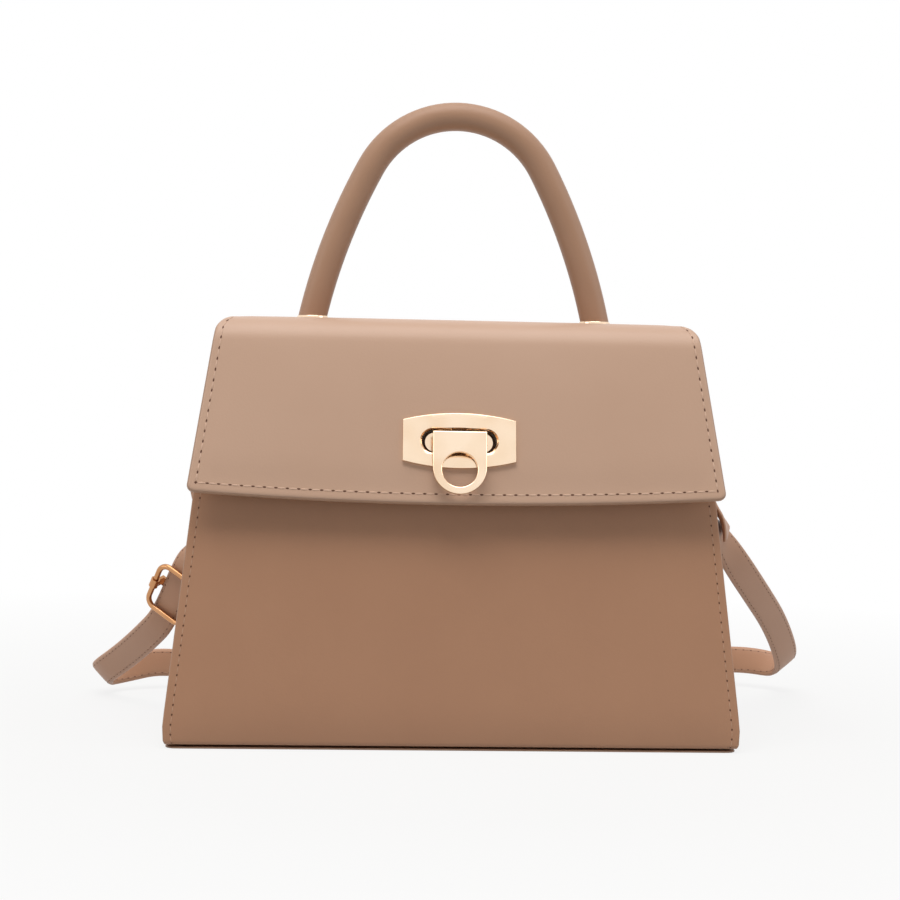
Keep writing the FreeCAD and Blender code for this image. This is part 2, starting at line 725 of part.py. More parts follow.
def make_rings():
    loop_radius = bar_radius + ring_clearance
    tab_front = glue + 2 * tab_leather
    tab = block(tab_width, 0, tab_length, glue, tab_front)
    tab = tab.fuse(cross_cylinder(loop_radius + tab_leather, tab_width, 0, bar_out)).removeSplitter()
    tab = tab.cut(cross_cylinder(loop_radius, reach, 0, bar_out))
    tab = tab.cut(tab_rivet_hole)
    right_tab = placed(tab, wall_frame)
    save("right_ring_tab", right_tab)
    save("left_ring_tab", mirrored(right_tab))

    ring = wire_ring(ring_width, -ring_drop, 0, 0, ring_corner, ring_wire)
    lean = FreeCAD.Placement(Vector(0, 0, bar_out), FreeCAD.Rotation(Vector(1, 0, 0), -ring_tilt))
    right_ring = placed(placed(ring, lean), wall_frame)
    save("right_strap_ring", right_ring)
    save("left_strap_ring", mirrored(right_ring))

    inner = -gusset_leather - glue - lining
    shank = upright_cylinder(tab_rivet_diameter, 0, tab_rivet_rise, inner, tab_front)
    cap = upright_cylinder(tab_rivet_head, 0, tab_rivet_rise, tab_front, tab_front + tab_rivet_head_height)
    foot = upright_cylinder(tab_rivet_head, 0, tab_rivet_rise, inner - tab_rivet_head_height, inner)
    right_rivet = placed(shank.fuse([cap, foot]).removeSplitter(), wall_frame)
    save("tab_rivets", Part.makeCompound([right_rivet, mirrored(right_rivet)]))


# Strap
def strap_sections(route, start_width, fold_width, first_flat):
    """Position, direction, width direction and face direction at each point of a route."""
    points = [Vector(*p) for p in route]
    sections = []
    for i, place in enumerate(points):
        along = (points[min(i + 1, len(points) - 1)] - points[max(i - 1, 0)]).normalize()
        share = min(i / first_flat, 1)
        wide = start_width * (1 - share) + fold_width * share
        wide = (wide - along * wide.dot(along)).normalize()
        sections.append((place, along, wide, wide.cross(along)))
    return sections


def strap_loft(name, sections):
    wires = []
    for place, _, wide, face in sections:
        corners = []
        for across_side, face_side in ((-1, -1), (1, -1), (1, 1), (-1, 1)):
            half = wide * (across_side * strap_width / 2) + face * (face_side * strap_thickness / 2)
            corners.append(place + half)
        wires.append(Part.makePolygon(corners + corners[:1]))
    run = Part.makeLoft(wires, True, True)
    length = route_length([section[0] for section in sections])
    share = run.Volume / (length * strap_width * strap_thickness)
    print(name, "length", round(length), "volume against section times length", round(share, 3))
    return run


def route_length(points):
    return sum((Vector(*b) - Vector(*a)).Length for a, b in zip(points, points[1:]))


def ring_loop():
    radius = bar_radius + strap_loop_clearance
    outer = cross_cylinder(radius + strap_thickness, strap_width, ring_low.y, ring_low.z)
    return placed(outer.cut(cross_cylinder(radius, reach, ring_low.y, ring_low.z)), wall_frame)


def loop_run(route, loop, start_width):
    """The strap from the loop on the ring to the first point of its route."""
    middle = loop.BoundBox.Center
    first, second = Vector(*route[0]), Vector(*route[1])
    toward = (first - middle).normalize()
    start = middle + toward * (bar_radius + strap_loop_clearance + strap_thickness / 2)
    return strap_sections([start, first, second], start_width, start_width, 1)[:1]


def make_strap():
    right_loop = ring_loop()
    left_loop = mirrored(right_loop)
    along_y = Vector(0, 1, 0)
    right = strap_sections(right_route, along_y, Vector(*right_fold_width), 4)
    right = loop_run(right_route, right_loop, along_y) + right
    save("strap_right", right_loop.fuse(strap_loft("strap_right", right)).removeSplitter())

    left = strap_sections(left_route, along_y, Vector(*left_fold_width) * -1, 2)
    left = loop_run(left_route, left_loop, along_y) + left
    save("strap_left", left_loop.fuse(strap_loft("strap_left", left)).removeSplitter())
    make_slide(left)
    make_hank()


def hank_route():
    points = list(hank_lead_right)
    for run in range(hank_runs):
        y = hank_front + hank_step * (hank_runs - 1 - run)
        direction = -1 if run % 2 == 0 else 1
        if run > 0:
            points.append((-direction * hank_half_length, y))
        if run < hank_runs - 1:
            points.append((direction * hank_half_length, y))
    return points + list(hank_lead_left)


def make_hank():
    """The strap on the ground, in runs beside each other that are joined by round turns."""
    points = [Vector(x, y, 0) for x, y in hank_route()]
    edges, radii = [], []
    start = points[0]
    for before, corner, after in zip(points, points[1:], points[2:]):
        back, ahead = before - corner, after - corner
        half_angle = back.getAngle(ahead) / 2
        shorter = min(back.Length, ahead.Length)
        radius = turn_share * shorter * math.tan(half_angle)
        radii.append(round(radius))
        back.normalize()
        ahead.normalize()
        setback = radius / math.tan(half_angle)
        inward = (back + ahead).normalize()
        centre = corner + inward * (radius / math.sin(half_angle))
        edges.append(edge(start, None, corner + back * setback))
        edges.append(edge(corner + back * setback, centre - inward * radius, corner + ahead * setback))
        start = corner + ahead * setback
    edges.append(edge(start, None, points[-1]))
    path = Part.Wire(edges)
    side_line = path.makeOffset2D(strap_thickness / 2, 0, False, True)
    band = side_line.makeOffset2D(-strap_thickness, 0, True, True)
    solid = band.extrude(Vector(0, 0, strap_width))
    share = solid.Volume / (path.Length * strap_width * strap_thickness)
    print("strap hank: length", round(path.Length), "volume against section times length", round(share, 3))
    print("strap hank: radii", radii)
    print("strap hank: least gap to itself", round(least_gap(path, 2 * hank_step) - strap_thickness, 1))
    total = path.Length + route_length(right_route) + route_length(left_route)
    print("strap: whole length about", round(total + 2 * strap_width))
    save("strap_hank", solid)


def make_slide(left):
    """A wire slide: its ends lie before the strap, and its middle bar behind it."""
    first, second = left[3], left[4]
    middle = first[0] + (second[0] - first[0]) * slide_place
    along = (second[0] - first[0]).normalize()
    wide = first[2] + second[2]
    wide = (wide - along * wide.dot(along)).normalize()
    face = wide.cross(along)
    if face.y > 0:
        wide, face = wide * -1, face * -1
    frame = frame_of(middle, wide * -1, along * -1, face)
    out = strap_thickness / 2 + running_gap + slide_wire / 2
    end = slide_length / 2
    save("slide_frame", placed(wire_ring(slide_width, -end, end, out, slide_corner, slide_wire), frame))

    front = -strap_thickness / 2 - running_gap
    back = front - slide_bar_thickness
    half = slide_bar_width / 2
    ends, holes = [], []
    for side in (-1, 1):
        x = side * slide_width / 2
        leg = block(slide_bar_thickness, -half, half, back, out)
        ends.append(leg.translated(Vector(x - side * slide_bar_thickness / 2, 0, 0)))
        ends.append(lengthwise_cylinder(slide_collar / 2, slide_bar_width, x, out))
        holes.append(lengthwise_cylinder(slide_wire / 2 + glue, reach, x, out))
    bar = block(slide_width, -half, half, back, front).fuse(ends).removeSplitter().cut(holes)
    save("slide_bar", placed(bar, frame))


make_body()
make_gussets(tab_hole)
make_lining(tab_hole)
make_flap()
make_plate()
make_lock_base()
make_catch()
make_spring()
make_handle()
make_rings()
make_strap()
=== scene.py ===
import bpy, bmesh, json
from math import radians, sin, cos, tan, pi, sqrt, atan2, copysign, exp, hypot
from mathutils import Vector, Matrix
from bisect import bisect_left


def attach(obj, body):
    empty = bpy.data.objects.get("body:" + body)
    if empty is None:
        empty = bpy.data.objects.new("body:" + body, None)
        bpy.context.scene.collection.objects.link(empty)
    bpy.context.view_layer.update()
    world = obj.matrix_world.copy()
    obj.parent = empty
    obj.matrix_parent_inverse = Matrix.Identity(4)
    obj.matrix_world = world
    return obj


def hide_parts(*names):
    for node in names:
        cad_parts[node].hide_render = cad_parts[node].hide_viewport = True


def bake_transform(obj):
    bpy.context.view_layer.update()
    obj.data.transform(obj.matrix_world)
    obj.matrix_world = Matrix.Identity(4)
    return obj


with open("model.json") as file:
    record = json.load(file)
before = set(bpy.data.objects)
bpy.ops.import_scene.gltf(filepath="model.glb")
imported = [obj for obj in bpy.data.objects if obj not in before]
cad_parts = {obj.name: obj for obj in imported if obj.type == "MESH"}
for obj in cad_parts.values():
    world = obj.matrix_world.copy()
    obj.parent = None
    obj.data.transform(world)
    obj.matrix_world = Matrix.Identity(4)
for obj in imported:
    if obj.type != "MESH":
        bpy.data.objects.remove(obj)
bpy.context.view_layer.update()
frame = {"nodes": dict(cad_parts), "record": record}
scene = bpy.context.scene
scene.view_settings.view_transform = "Standard"
mm = 0.001
print("frame loaded:", len(frame["nodes"]), "nodes")


# small helpers, used by every piece
def hexColor(text):
    parts = [int(text[i:i + 2], 16) / 255 for i in (1, 3, 5)]
    return [c / 12.92 if c <= 0.04045 else ((c + 0.055) / 1.055) ** 2.4 for c in parts] + [1.0]


def clamp(value):
    return min(1, max(0, value))


def wholeMesh(bm):
    return bm.verts[:] + bm.edges[:] + bm.faces[:]


def addNode(tree, kind, inputs=None, **settings):
    # an input is a value, or the socket that is linked to it
    node = tree.nodes.new(kind)
    for name, value in settings.items():
        setattr(node, name, value)
    for name, value in (inputs or {}).items():
        if isinstance(value, bpy.types.NodeSocket):
            tree.links.new(value, node.inputs[name])
        else:
            node.inputs[name].default_value = value
    return node


def newMaterial(name):
    material = bpy.data.materials.new(name)
    material.use_nodes = True
    material.node_tree.nodes.clear()
    return material, material.node_tree


def addPiece(name, bm, materials, smoothAngle=40):
    mesh = bpy.data.meshes.new(name)
    bm.to_mesh(mesh)
    bm.free()
    for material in materials:
        mesh.materials.append(material)
    mesh.shade_smooth()
    mesh.set_sharp_from_angle(angle=radians(smoothAngle))
    piece = bpy.data.objects.new(name, mesh)
    scene.collection.objects.link(piece)
    return piece


# camera, at the photograph's place
cameraSet = {"eye": (-47.6, -745, 131), "yaw": 3.607, "pitch": -1.58, "roll": 1.136, "lens": 76.11,
             "sensor": 36.0}  # eye in mm, angles in degrees


def addCamera():
    yaw, pitch, roll = (radians(cameraSet[k]) for k in ("yaw", "pitch", "roll"))
    look = Vector((sin(yaw) * cos(pitch), cos(yaw) * cos(pitch), sin(pitch)))
    level = Vector((cos(yaw), -sin(yaw), 0))
    right = level * cos(roll) + level.cross(look) * sin(roll)  # the picture's right side hangs a little
    data = bpy.data.cameras.new("camera")
    data.lens, data.sensor_width = cameraSet["lens"], cameraSet["sensor"]
    camera = bpy.data.objects.new("camera", data)
    turn = Matrix((right, right.cross(look), -look)).transposed().to_4x4()
    camera.matrix_world = Matrix.Translation(Vector(cameraSet["eye"]) * mm) @ turn
    scene.collection.objects.link(camera)
    scene.camera = camera


addCamera()
print("camera set")


# materials
def makeLeather(name, light, dark, rough):
    # smooth coated calf leather: satin, with a shallow fine grain and softly clouded tone
    material, tree = newMaterial(name)
    place = addNode(tree, "ShaderNodeTexCoord").outputs["Object"]
    cloud = addNode(tree, "ShaderNodeTexNoise", {
        "Vector": place, "Scale": 1 / 0.045, "Detail": 2.0})  # 45 mm clouds
    tone = addNode(tree, "ShaderNodeMix", {
        0: cloud.outputs["Fac"], 6: hexColor(dark), 7: hexColor(light)}, data_type="RGBA")
    pebble = addNode(tree, "ShaderNodeTexVoronoi", {"Vector": place, "Scale": 1 / 0.0009})  # 0.9 mm pebbles
    pores = addNode(tree, "ShaderNodeTexNoise", {
        "Vector": place, "Scale": 1 / 0.0005, "Detail": 3.0})  # 0.5 mm pores
    height = addNode(tree, "ShaderNodeMath", {
        0: pebble.outputs["Distance"], 1: pores.outputs["Fac"]}, operation="ADD")
    bump = addNode(tree, "ShaderNodeBump", {
        "Strength": 0.12, "Distance": 0.00012, "Height": height.outputs[0]})
    gloss = addNode(tree, "ShaderNodeMapRange", {
        "Value": pores.outputs["Fac"], "To Min": rough - 0.05, "To Max": rough + 0.06})
    skin = addNode(tree, "ShaderNodeBsdfPrincipled", {
        "Base Color": tone.outputs[2], "Roughness": gloss.outputs[0], "Normal": bump.outputs[0],
        "IOR": 1.5, "Sheen Weight": 0.05})
    addNode(tree, "ShaderNodeOutputMaterial", {"Surface": skin.outputs[0]})
    return material


def makePlain(name, color, rough, grainMm, depthMm):
    # one colour with a fine mottled surface, for edge paint, thread, board and stuffing
    material, tree = newMaterial(name)
    place = addNode(tree, "ShaderNodeTexCoord").outputs["Object"]
    fine = addNode(tree, "ShaderNodeTexNoise", {"Vector": place, "Scale": 1000 / grainMm, "Detail": 3.0})
    gloss = addNode(tree, "ShaderNodeMapRange", {
        "Value": fine.outputs["Fac"], "To Min": rough * 0.85, "To Max": rough * 1.15})
    bump = addNode(tree, "ShaderNodeBump", {
        "Strength": 0.2, "Distance": depthMm * mm, "Height": fine.outputs["Fac"]})
    broad = addNode(tree, "ShaderNodeTexNoise", {
        "Vector": place, "Scale": 200 / grainMm, "Detail": 1.0})  # patches five grains wide
    full = hexColor(color)
    shade = [c * 0.85 for c in full[:3]] + [1]
    tone = addNode(tree, "ShaderNodeMix", {0: broad.outputs["Fac"], 6: shade, 7: full}, data_type="RGBA")
    skin = addNode(tree, "ShaderNodeBsdfPrincipled", {
        "Base Color": tone.outputs[2], "Roughness": gloss.outputs[0], "Normal": bump.outputs[0]})
    addNode(tree, "ShaderNodeOutputMaterial", {"Surface": skin.outputs[0]})
    return material


def makePlated(name, color, shade, rough):
    # polished plating on cast zinc: bright, its tone a little uneven, with hair lines from the buffing wheel
    material, tree = newMaterial(name)
    place = addNode(tree, "ShaderNodeTexCoord").outputs["Object"]
    slow = addNode(tree, "ShaderNodeTexNoise", {
        "Vector": place, "Scale": 1 / 0.014, "Detail": 1.0})  # 14 mm patches
    patch = addNode(tree, "ShaderNodeMapRange", {
        "Value": slow.outputs["Fac"], "From Min": 0.3, "From Max": 0.7})
    tone = addNode(tree, "ShaderNodeMix", {
        0: patch.outputs[0], 6: hexColor(shade), 7: hexColor(color)}, data_type="RGBA")
    drawn = addNode(tree, "ShaderNodeMapping", {
        "Vector": place, "Scale": (0.06, 1, 1)})  # hair lines run across
    lines = addNode(tree, "ShaderNodeTexNoise", {
        "Vector": drawn.outputs[0], "Scale": 1 / 0.0004, "Detail": 2.0})  # 0.4 mm apart
    gloss = addNode(tree, "ShaderNodeMapRange", {
        "Value": lines.outputs["Fac"], "To Min": rough * 0.8, "To Max": rough * 1.25})
    bump = addNode(tree, "ShaderNodeBump", {
        "Strength": 0.15, "Distance": 0.00002, "Height": lines.outputs["Fac"]})
    skin = addNode(tree, "ShaderNodeBsdfPrincipled", {
        "Base Color": tone.outputs[2], "Roughness": gloss.outputs[0], "Normal": bump.outputs[0],
        "Metallic": 1.0})
    addNode(tree, "ShaderNodeOutputMaterial", {"Surface": skin.outputs[0]})
    return material


def makeTwill(name, color, dark):
    # woven polyester twill: matt, with thin slanting ribs, drawn 1 mm apart so that they show
    material, tree = newMaterial(name)
    place = addNode(tree, "ShaderNodeTexCoord").outputs["Object"]
    ribs = addNode(tree, "ShaderNodeTexWave", {
        "Vector": place, "Scale": 2 * pi / 10 / 0.0015, "Distortion": 0.6, "Detail": 1.0},
        bands_direction="DIAGONAL")  # 1.5 mm along an axis is about 1 mm across the ribs
    tone = addNode(tree, "ShaderNodeMix", {
        0: ribs.outputs["Fac"], 6: hexColor(dark), 7: hexColor(color)}, data_type="RGBA")
    bump = addNode(tree, "ShaderNodeBump", {
        "Strength": 0.25, "Distance": 0.0002, "Height": ribs.outputs["Fac"]})
    skin = addNode(tree, "ShaderNodeBsdfPrincipled", {
        "Base Color": tone.outputs[2], "Roughness": 0.85, "Normal": bump.outputs[0], "Sheen Weight": 0.2})
    addNode(tree, "ShaderNodeOutputMaterial", {"Surface": skin.outputs[0]})
    return material


# the flap's leather is the body's leather made lighter and paler: painted sheen of the overhead light on the
# leaning flap
flapLeatherPaintedSheen = makeLeather("coated_calf_leather_flap_painted_sheen", "#bd9c86", "#b6947d", 0.40)
bodyLeather = makeLeather("coated_calf_leather_body", "#a97e61", "#a1765a", 0.42)
handleLeather = makeLeather("coated_calf_leather_handle", "#a47f66", "#9d785e", 0.44)
strapLeather = makeLeather("coated_calf_leather_strap", "#bb8f73", "#b3876b", 0.46)
edgePaint = makePlain("painted_leather_edge", "#ac8a73", 0.45, 0.8, 0.04)
thread = makePlain("polyester_thread", "#cfae97", 0.6, 0.25, 0.03)
tanThread = makePlain("polyester_thread_tan", "#b8937a", 0.6, 0.25, 0.03)  # closer to the body's tone
# needle holes: dark spots that are painted shade in the holes
needleHoleShade = makePlain("needle_hole_shade", "#5c3b2b", 0.8, 0.3, 0.02)
softHoleShade = makePlain("needle_hole_shade_half_closed", "#7f5c49", 0.8, 0.3, 0.02)  # painted shade in the holes, lighter as they are half closed in the softer strap
twill = makeTwill("woven_twill_lining", "#b49377", "#9a7a60")
paleGold = makePlated("polished_pale_gold_plate", "#ffe7cc", "#f5d7b6", 0.18)
warmGold = makePlated("polished_warm_gold_plate", "#cb986e", "#bd8759", 0.20)
nickel = makePlated("nickel_plated_steel", "#b8b3ab", "#a8a39b", 0.28)
fibreBoard = makePlain("pressed_fibre_board", "#8a715a", 0.9, 0.6, 0.08)
filler = makePlain("foam_rubber_filler", "#4a3d33", 0.9, 1.0, 0.08)

finishes = {"pale_gold": paleGold, "warm_gold": warmGold, "plated_steel": nickel, "fibre_board": fibreBoard,
            "handle_filler": filler, "flap_leather": flapLeatherPaintedSheen, "body_leather": bodyLeather,
            "strap_leather": strapLeather, "lining_cloth": twill}
for part in frame["record"]["subparts"]:
    node = frame["nodes"][part["node"]]
    node.data.materials.clear()
    node.data.materials.append(finishes[part["material_slot"]])
print("materials made")

# every strip of leather: points round its section, how much rounder its faces are than its edges,
# and the length of the arrows that give the direction across it
stripSet = {"around": 20, "faceRound": 0.3, "arrow": 0.006}

# strap: one flat strap from the right ring, round behind the bag, to the left ring
strapSet = {"width": 0.012, "thick": 0.0030, "square": 0.55, "perSpan": 10, "seam": 0.0045,
            "seamEnds": (26, 16)}  # mm of strap left unstitched at the right and the left ring
# a point of the middle line, in metres, and the direction across the strap there
strapRoute = [
    ((0.0985, 0.000, 0.0935), (0, 1, 0)),
    ((0.1018, 0.0005, 0.087), (0.1, 1, 0)),
    ((0.1085, 0.0065, 0.077), (0.55, 0.7, 0.3)),
    ((0.1185, 0.019, 0.0655), (0.80, 0.2, 0.55)),
    ((0.1305, 0.039, 0.0528), (0.82, 0, 0.58)),
    ((0.1465, 0.068, 0.0360), (0.82, 0, 0.58)),
    ((0.1590, 0.096, 0.0175), (0.79, 0, 0.62)),
    ((0.1605, 0.110, 0.0112), (0.75, 0, 0.66)),
    ((0.145, 0.121, 0.0130), (0.4, 0, 0.9)),
    ((0.128, 0.130, 0.0108), (0.1, 0, 1)),
    ((0.108, 0.134, 0.0062), (0, 0, 1)),
    ((-0.088, 0.134, 0.0062), (0, 0, 1)),
    ((-0.104, 0.134, 0.0062), (0, 0, 1)),
    ((-0.104, 0.118, 0.0062), (0, 0, 1)),
    ((-0.088, 0.118, 0.0062), (0, 0, 1)),
    ((0.088, 0.118, 0.0062), (0, 0, 1)),
    ((0.104, 0.118, 0.0062), (0, 0, 1)),
    ((0.104, 0.102, 0.0062), (0, 0, 1)),
    ((0.088, 0.102, 0.0062), (0, 0, 1)),
    ((-0.092, 0.102, 0.0062), (0, 0, 1)),
    ((-0.118, 0.100, 0.0128), (-0.3, 0, 0.95)),
    ((-0.138, 0.093, 0.0090), (-0.62, 0, 0.78)),
    ((-0.1465, 0.081, 0.0080), (-0.68, 0, 0.73)),
    ((-0.1320, 0.058, 0.0200), (-0.72, 0.1, 0.68)),
    ((-0.1210, 0.037, 0.0310), (-0.76, 0.25, 0.58)),
    ((-0.1130, 0.0232, 0.040), (-0.79, 0.35, 0.50)),
    ((-0.1037, 0.0114, 0.062), (-0.79, 0.35, 0.50)),
    ((-0.1006, 0.0076, 0.0695), (-0.15, 0.95, 0.15)),
    ((-0.0992, 0.0045, 0.0765), (0, 1, 0)),
    ((-0.0986, 0.0005, 0.0865), (0, 1, 0)),
    ((-0.0982, 0.000, 0.0935), (0, 1, 0)),
]


def splinePoints(points, perSpan):
    curve = bpy.data.curves.new("route", "CURVE")
    curve.dimensions = "3D"
    spline = curve.splines.new("NURBS")
    spline.points.add(len(points) - 1)
    for target, point in zip(spline.points, points):
        target.co = (*point, 1)
    spline.order_u = 3
    spline.use_endpoint_u = True
    spline.resolution_u = perSpan
    holder = bpy.data.objects.new("route", curve)
    mesh = bpy.data.meshes.new_from_object(holder)
    found = [v.co.copy() for v in mesh.vertices]
    bpy.data.objects.remove(holder)
    bpy.data.curves.remove(curve)
    bpy.data.meshes.remove(mesh)
    return found


def stripFrames(route, perSpan):
    # place, direction across the strip and direction out of its face, at each point read from the spline
    middle = splinePoints([Vector(p) for p, d in route], perSpan)
    edge = splinePoints([Vector(p) + Vector(d).normalized() * stripSet["arrow"] for p, d in route], perSpan)
    frames = []
    for i, place in enumerate(middle):
        along = (middle[min(i + 1, len(middle) - 1)] - middle[max(i - 1, 0)]).normalized()
        across = edge[i] - place
        across = (across - along * across.dot(along)).normalized()
        frames.append((place, across, across.cross(along)))
    return frames


def addStrip(name, frames, strip, materials):
    # a flat grid rolled up into a closed strip, flatter the smaller square is
    bm = bmesh.new()
    last = len(frames) - 1
    square, faceSquare = strip["square"], strip["square"] + stripSet["faceRound"]
    bmesh.ops.create_grid(bm, x_segments=last, y_segments=stripSet["around"], size=1)
    for v in bm.verts:
        place, across, face = frames[round((v.co.x + 1) / 2 * last)]
        wide, high = cos((v.co.y + 1) * pi), sin((v.co.y + 1) * pi)
        v.co = place + across * copysign(abs(wide) ** square, wide) * strip["width"] / 2
        v.co += face * copysign(abs(high) ** faceSquare, high) * strip["thick"] / 2
    bmesh.ops.remove_doubles(bm, verts=bm.verts, dist=1e-6)
    bmesh.ops.holes_fill(bm, edges=[e for e in bm.edges if e.is_boundary])
    bmesh.ops.recalc_face_normals(bm, faces=bm.faces)
    return addPiece(name, bm, materials)


strapFrames = stripFrames(strapRoute, strapSet["perSpan"])
strapPath = [place for place, across, face in strapFrames]
strapLength = sum((b - a).length for a, b in zip(strapPath, strapPath[1:]))
strap = addStrip("shoulderStrap", strapFrames, strapSet, [strapLeather])
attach(strap, "bag_body")
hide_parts("strap_right", "strap_hank", "strap_left")
print("strap length", round(strapLength, 3), "points", len(strapPath))


# flat leather blanks: made flat, rounded at the rim, cut into small faces, then laid onto the form
tiny = 1e-4  # mm; what is closer than this is at the same place


def roundedRun(corners, radii):
    # straight legs with rounded corners in the Y-Z plane; the inside is on the right of the way it goes
    points = [Vector(c) for c in corners]
    legs, start = [], points[0]
    for before, corner, after, radius in zip(points, points[1:], points[2:], radii):
        back, ahead = (before - corner).normalized(), (after - corner).normalized()
        half = back.angle(ahead) / 2
        first, last = corner + back * radius / tan(half), corner + ahead * radius / tan(half)
        middle = corner + (back + ahead).normalized() * radius / sin(half)
        legs += [(start, first, None, 0), (first, last, middle, radius)]
        start = last
    legs.append((start, points[-1], None, 0))
    lengths = [(last - first).length if centre is None else radius * (first - centre).angle(last - centre)
               for first, last, centre, radius in legs]

    def place(s, depth=0.0):
        for leg, length in zip(legs, lengths):
            if s <= length or leg is legs[-1]:
                break
            s -= length
        first, last, centre, radius = leg
        if centre is None:
            along = (last - first).normalized()
            return first + along * s + Vector((along.y, -along.x)) * depth
        arm = first - centre
        turn = -s / radius if arm.x * (last - centre).y - arm.y * (last - centre).x < 0 else s / radius
        arm = Matrix.Rotation(turn, 2) @ arm
        return centre + arm * (1 - depth / radius)

    return place, lengths


def evenSteps(low, high, step):
    count = max(1, round((high - low) / step))
    return [low + (high - low) * i / count for i in range(1, count)]


def bendSteps(lengths, leg, count):
    start = sum(lengths[:leg])
    return [start + lengths[leg] * i / count for i in range(count + 1)]


def leatherBlank(sheet, low, high, acrossCuts, alongCuts, openEnds=()):
    # x goes across, y along, and z is 0 at the outer face and -thick at the inner one
    half, thick, rounding, corner = (sheet[k] for k in ("half", "thick", "rounding", "corner"))
    bm = bmesh.new()
    bmesh.ops.create_cube(bm, size=1)
    bmesh.ops.scale(bm, vec=(2 * half, high - low, thick), verts=bm.verts)
    bmesh.ops.translate(bm, vec=(0, (low + high) / 2, -thick / 2), verts=bm.verts)
    closed = [end for end in (low, high) if end not in openEnds]
    for end in openEnds:
        ends = [f for f in bm.faces if all(abs(v.co.y - end) < tiny for v in f.verts)]
        bmesh.ops.delete(bm, geom=ends, context="FACES_ONLY")
    posts = [e for e in bm.edges if abs(e.verts[0].co.z - e.verts[1].co.z) > tiny
             and any(abs(e.verts[0].co.y - end) < tiny for end in closed)]
    if corner and posts:
        bmesh.ops.bevel(bm, geom=posts, offset=corner, segments=5, profile=0.5, affect="EDGES", material=-1)
    walls = [f for f in bm.faces if abs(f.normal.z) < 0.5]
    rim = {e for f in walls for e in f.edges
           if abs(e.verts[0].co.z - e.verts[1].co.z) < tiny and len(e.link_faces) == 2}
    bmesh.ops.bevel(bm, geom=list(rim), offset=rounding, segments=3, profile=0.5, affect="EDGES", material=-1)
    for axis, cuts in (((1, 0, 0), acrossCuts), ((0, 1, 0), alongCuts)):
        for cut in cuts:
            bmesh.ops.bisect_plane(bm, geom=wholeMesh(bm), dist=tiny,
                                   plane_co=Vector(axis) * cut, plane_no=axis)
    bm.normal_update()
    for f in bm.faces:  # slots: outer face, painted rim, inner face
        f.material_index = 0 if f.normal.z > 0.9 else 2 if f.normal.z < -0.9 else 1
    return bm


def layOn(bm, place):
    for v in bm.verts:
        v.co = Vector(place(v.co.x, v.co.y, -v.co.z)) * mm
    bmesh.ops.recalc_face_normals(bm, faces=bm.faces)


def addSeam(name, rows, place, slot, pitch=3.7, thick=0.32, hole=(0.75, 0.5), gap=1.1,
            yarn=thread, holeShade=needleHoleShade):
    # thread between needle holes painted dark as shade: one stitch for each row, repeated along it and laid
    # onto the leather
    holeDepth, flatness = 0.1, 0.7  # of each hole, in mm, and of the thread's section
    bm = bmesh.new()
    stitch = bpy.data.meshes.new("stitch")
    for start, end in rows:
        start, end = Vector(start), Vector(end)
        count = max(1, round((end - start).length / pitch))
        step = (end - start) / count
        one = bmesh.new()
        pit = Matrix.Diagonal((hole[0], hole[1], holeDepth, 1))
        bmesh.ops.create_uvsphere(one, u_segments=6, v_segments=3, radius=1, matrix=pit)
        for f in one.faces:
            f.material_index = 1
        bar = Matrix.Diagonal(((step.length - gap) / 2, thick, thick * flatness, 1))
        bar = Matrix.Translation((step.length / 2, 0, 0)) @ bar
        bmesh.ops.create_uvsphere(one, u_segments=6, v_segments=4, radius=1, matrix=bar)
        one.to_mesh(stitch)
        one.free()
        turn = Matrix.Rotation(atan2(step.y, step.x), 4, "Z")
        for i in range(count):
            spot = Matrix.Translation((start + step * i).to_3d()) @ turn
            stitch.transform(spot)
            bm.from_mesh(stitch)
            stitch.transform(spot.inverted())
    bpy.data.meshes.remove(stitch)
    layOn(bm, place)
    return addPiece(name, bm, [yarn, holeShade])


# strap: stitched along both edges, on both faces
def onStrap(side):
    marks = [0.0]
    for a, b in zip(strapPath, strapPath[1:]):
        marks.append(marks[-1] + (b - a).length / mm)
    edge = (2 * strapSet["seam"] / strapSet["width"]) ** (1 / strapSet["square"])
    faceSquare = strapSet["square"] + stripSet["faceRound"]
    crown = strapSet["thick"] / 2 * (1 - edge * edge) ** (faceSquare / 2)  # height of the face at the seam

    def place(x, s, depth):
        i = max(1, min(len(marks) - 1, bisect_left(marks, s)))
        share = (s - marks[i - 1]) / (marks[i] - marks[i - 1])
        spot, across, face = (a.lerp(b, share) for a, b in zip(strapFrames[i - 1], strapFrames[i]))
        return (spot + across * (x * mm) + face * side * (crown - depth * mm)) / mm
    return place


strapSeams, seamX = [], strapSet["seam"] / mm
seamStart, seamRest = strapSet["seamEnds"]
for side, label in ((-1, "Front"), (1, "Back")):
    rows = [((x, seamStart), (x, strapLength / mm - seamRest)) for x in (-seamX, seamX)]
    seam = addSeam("strapSeam" + label, rows, onStrap(side), "strap_leather", pitch=3.4, thick=0.2,
                   hole=(0.55, 0.3), yarn=tanThread, holeShade=softHoleShade)
    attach(seam, "bag_body")
    strapSeams.append(seam)

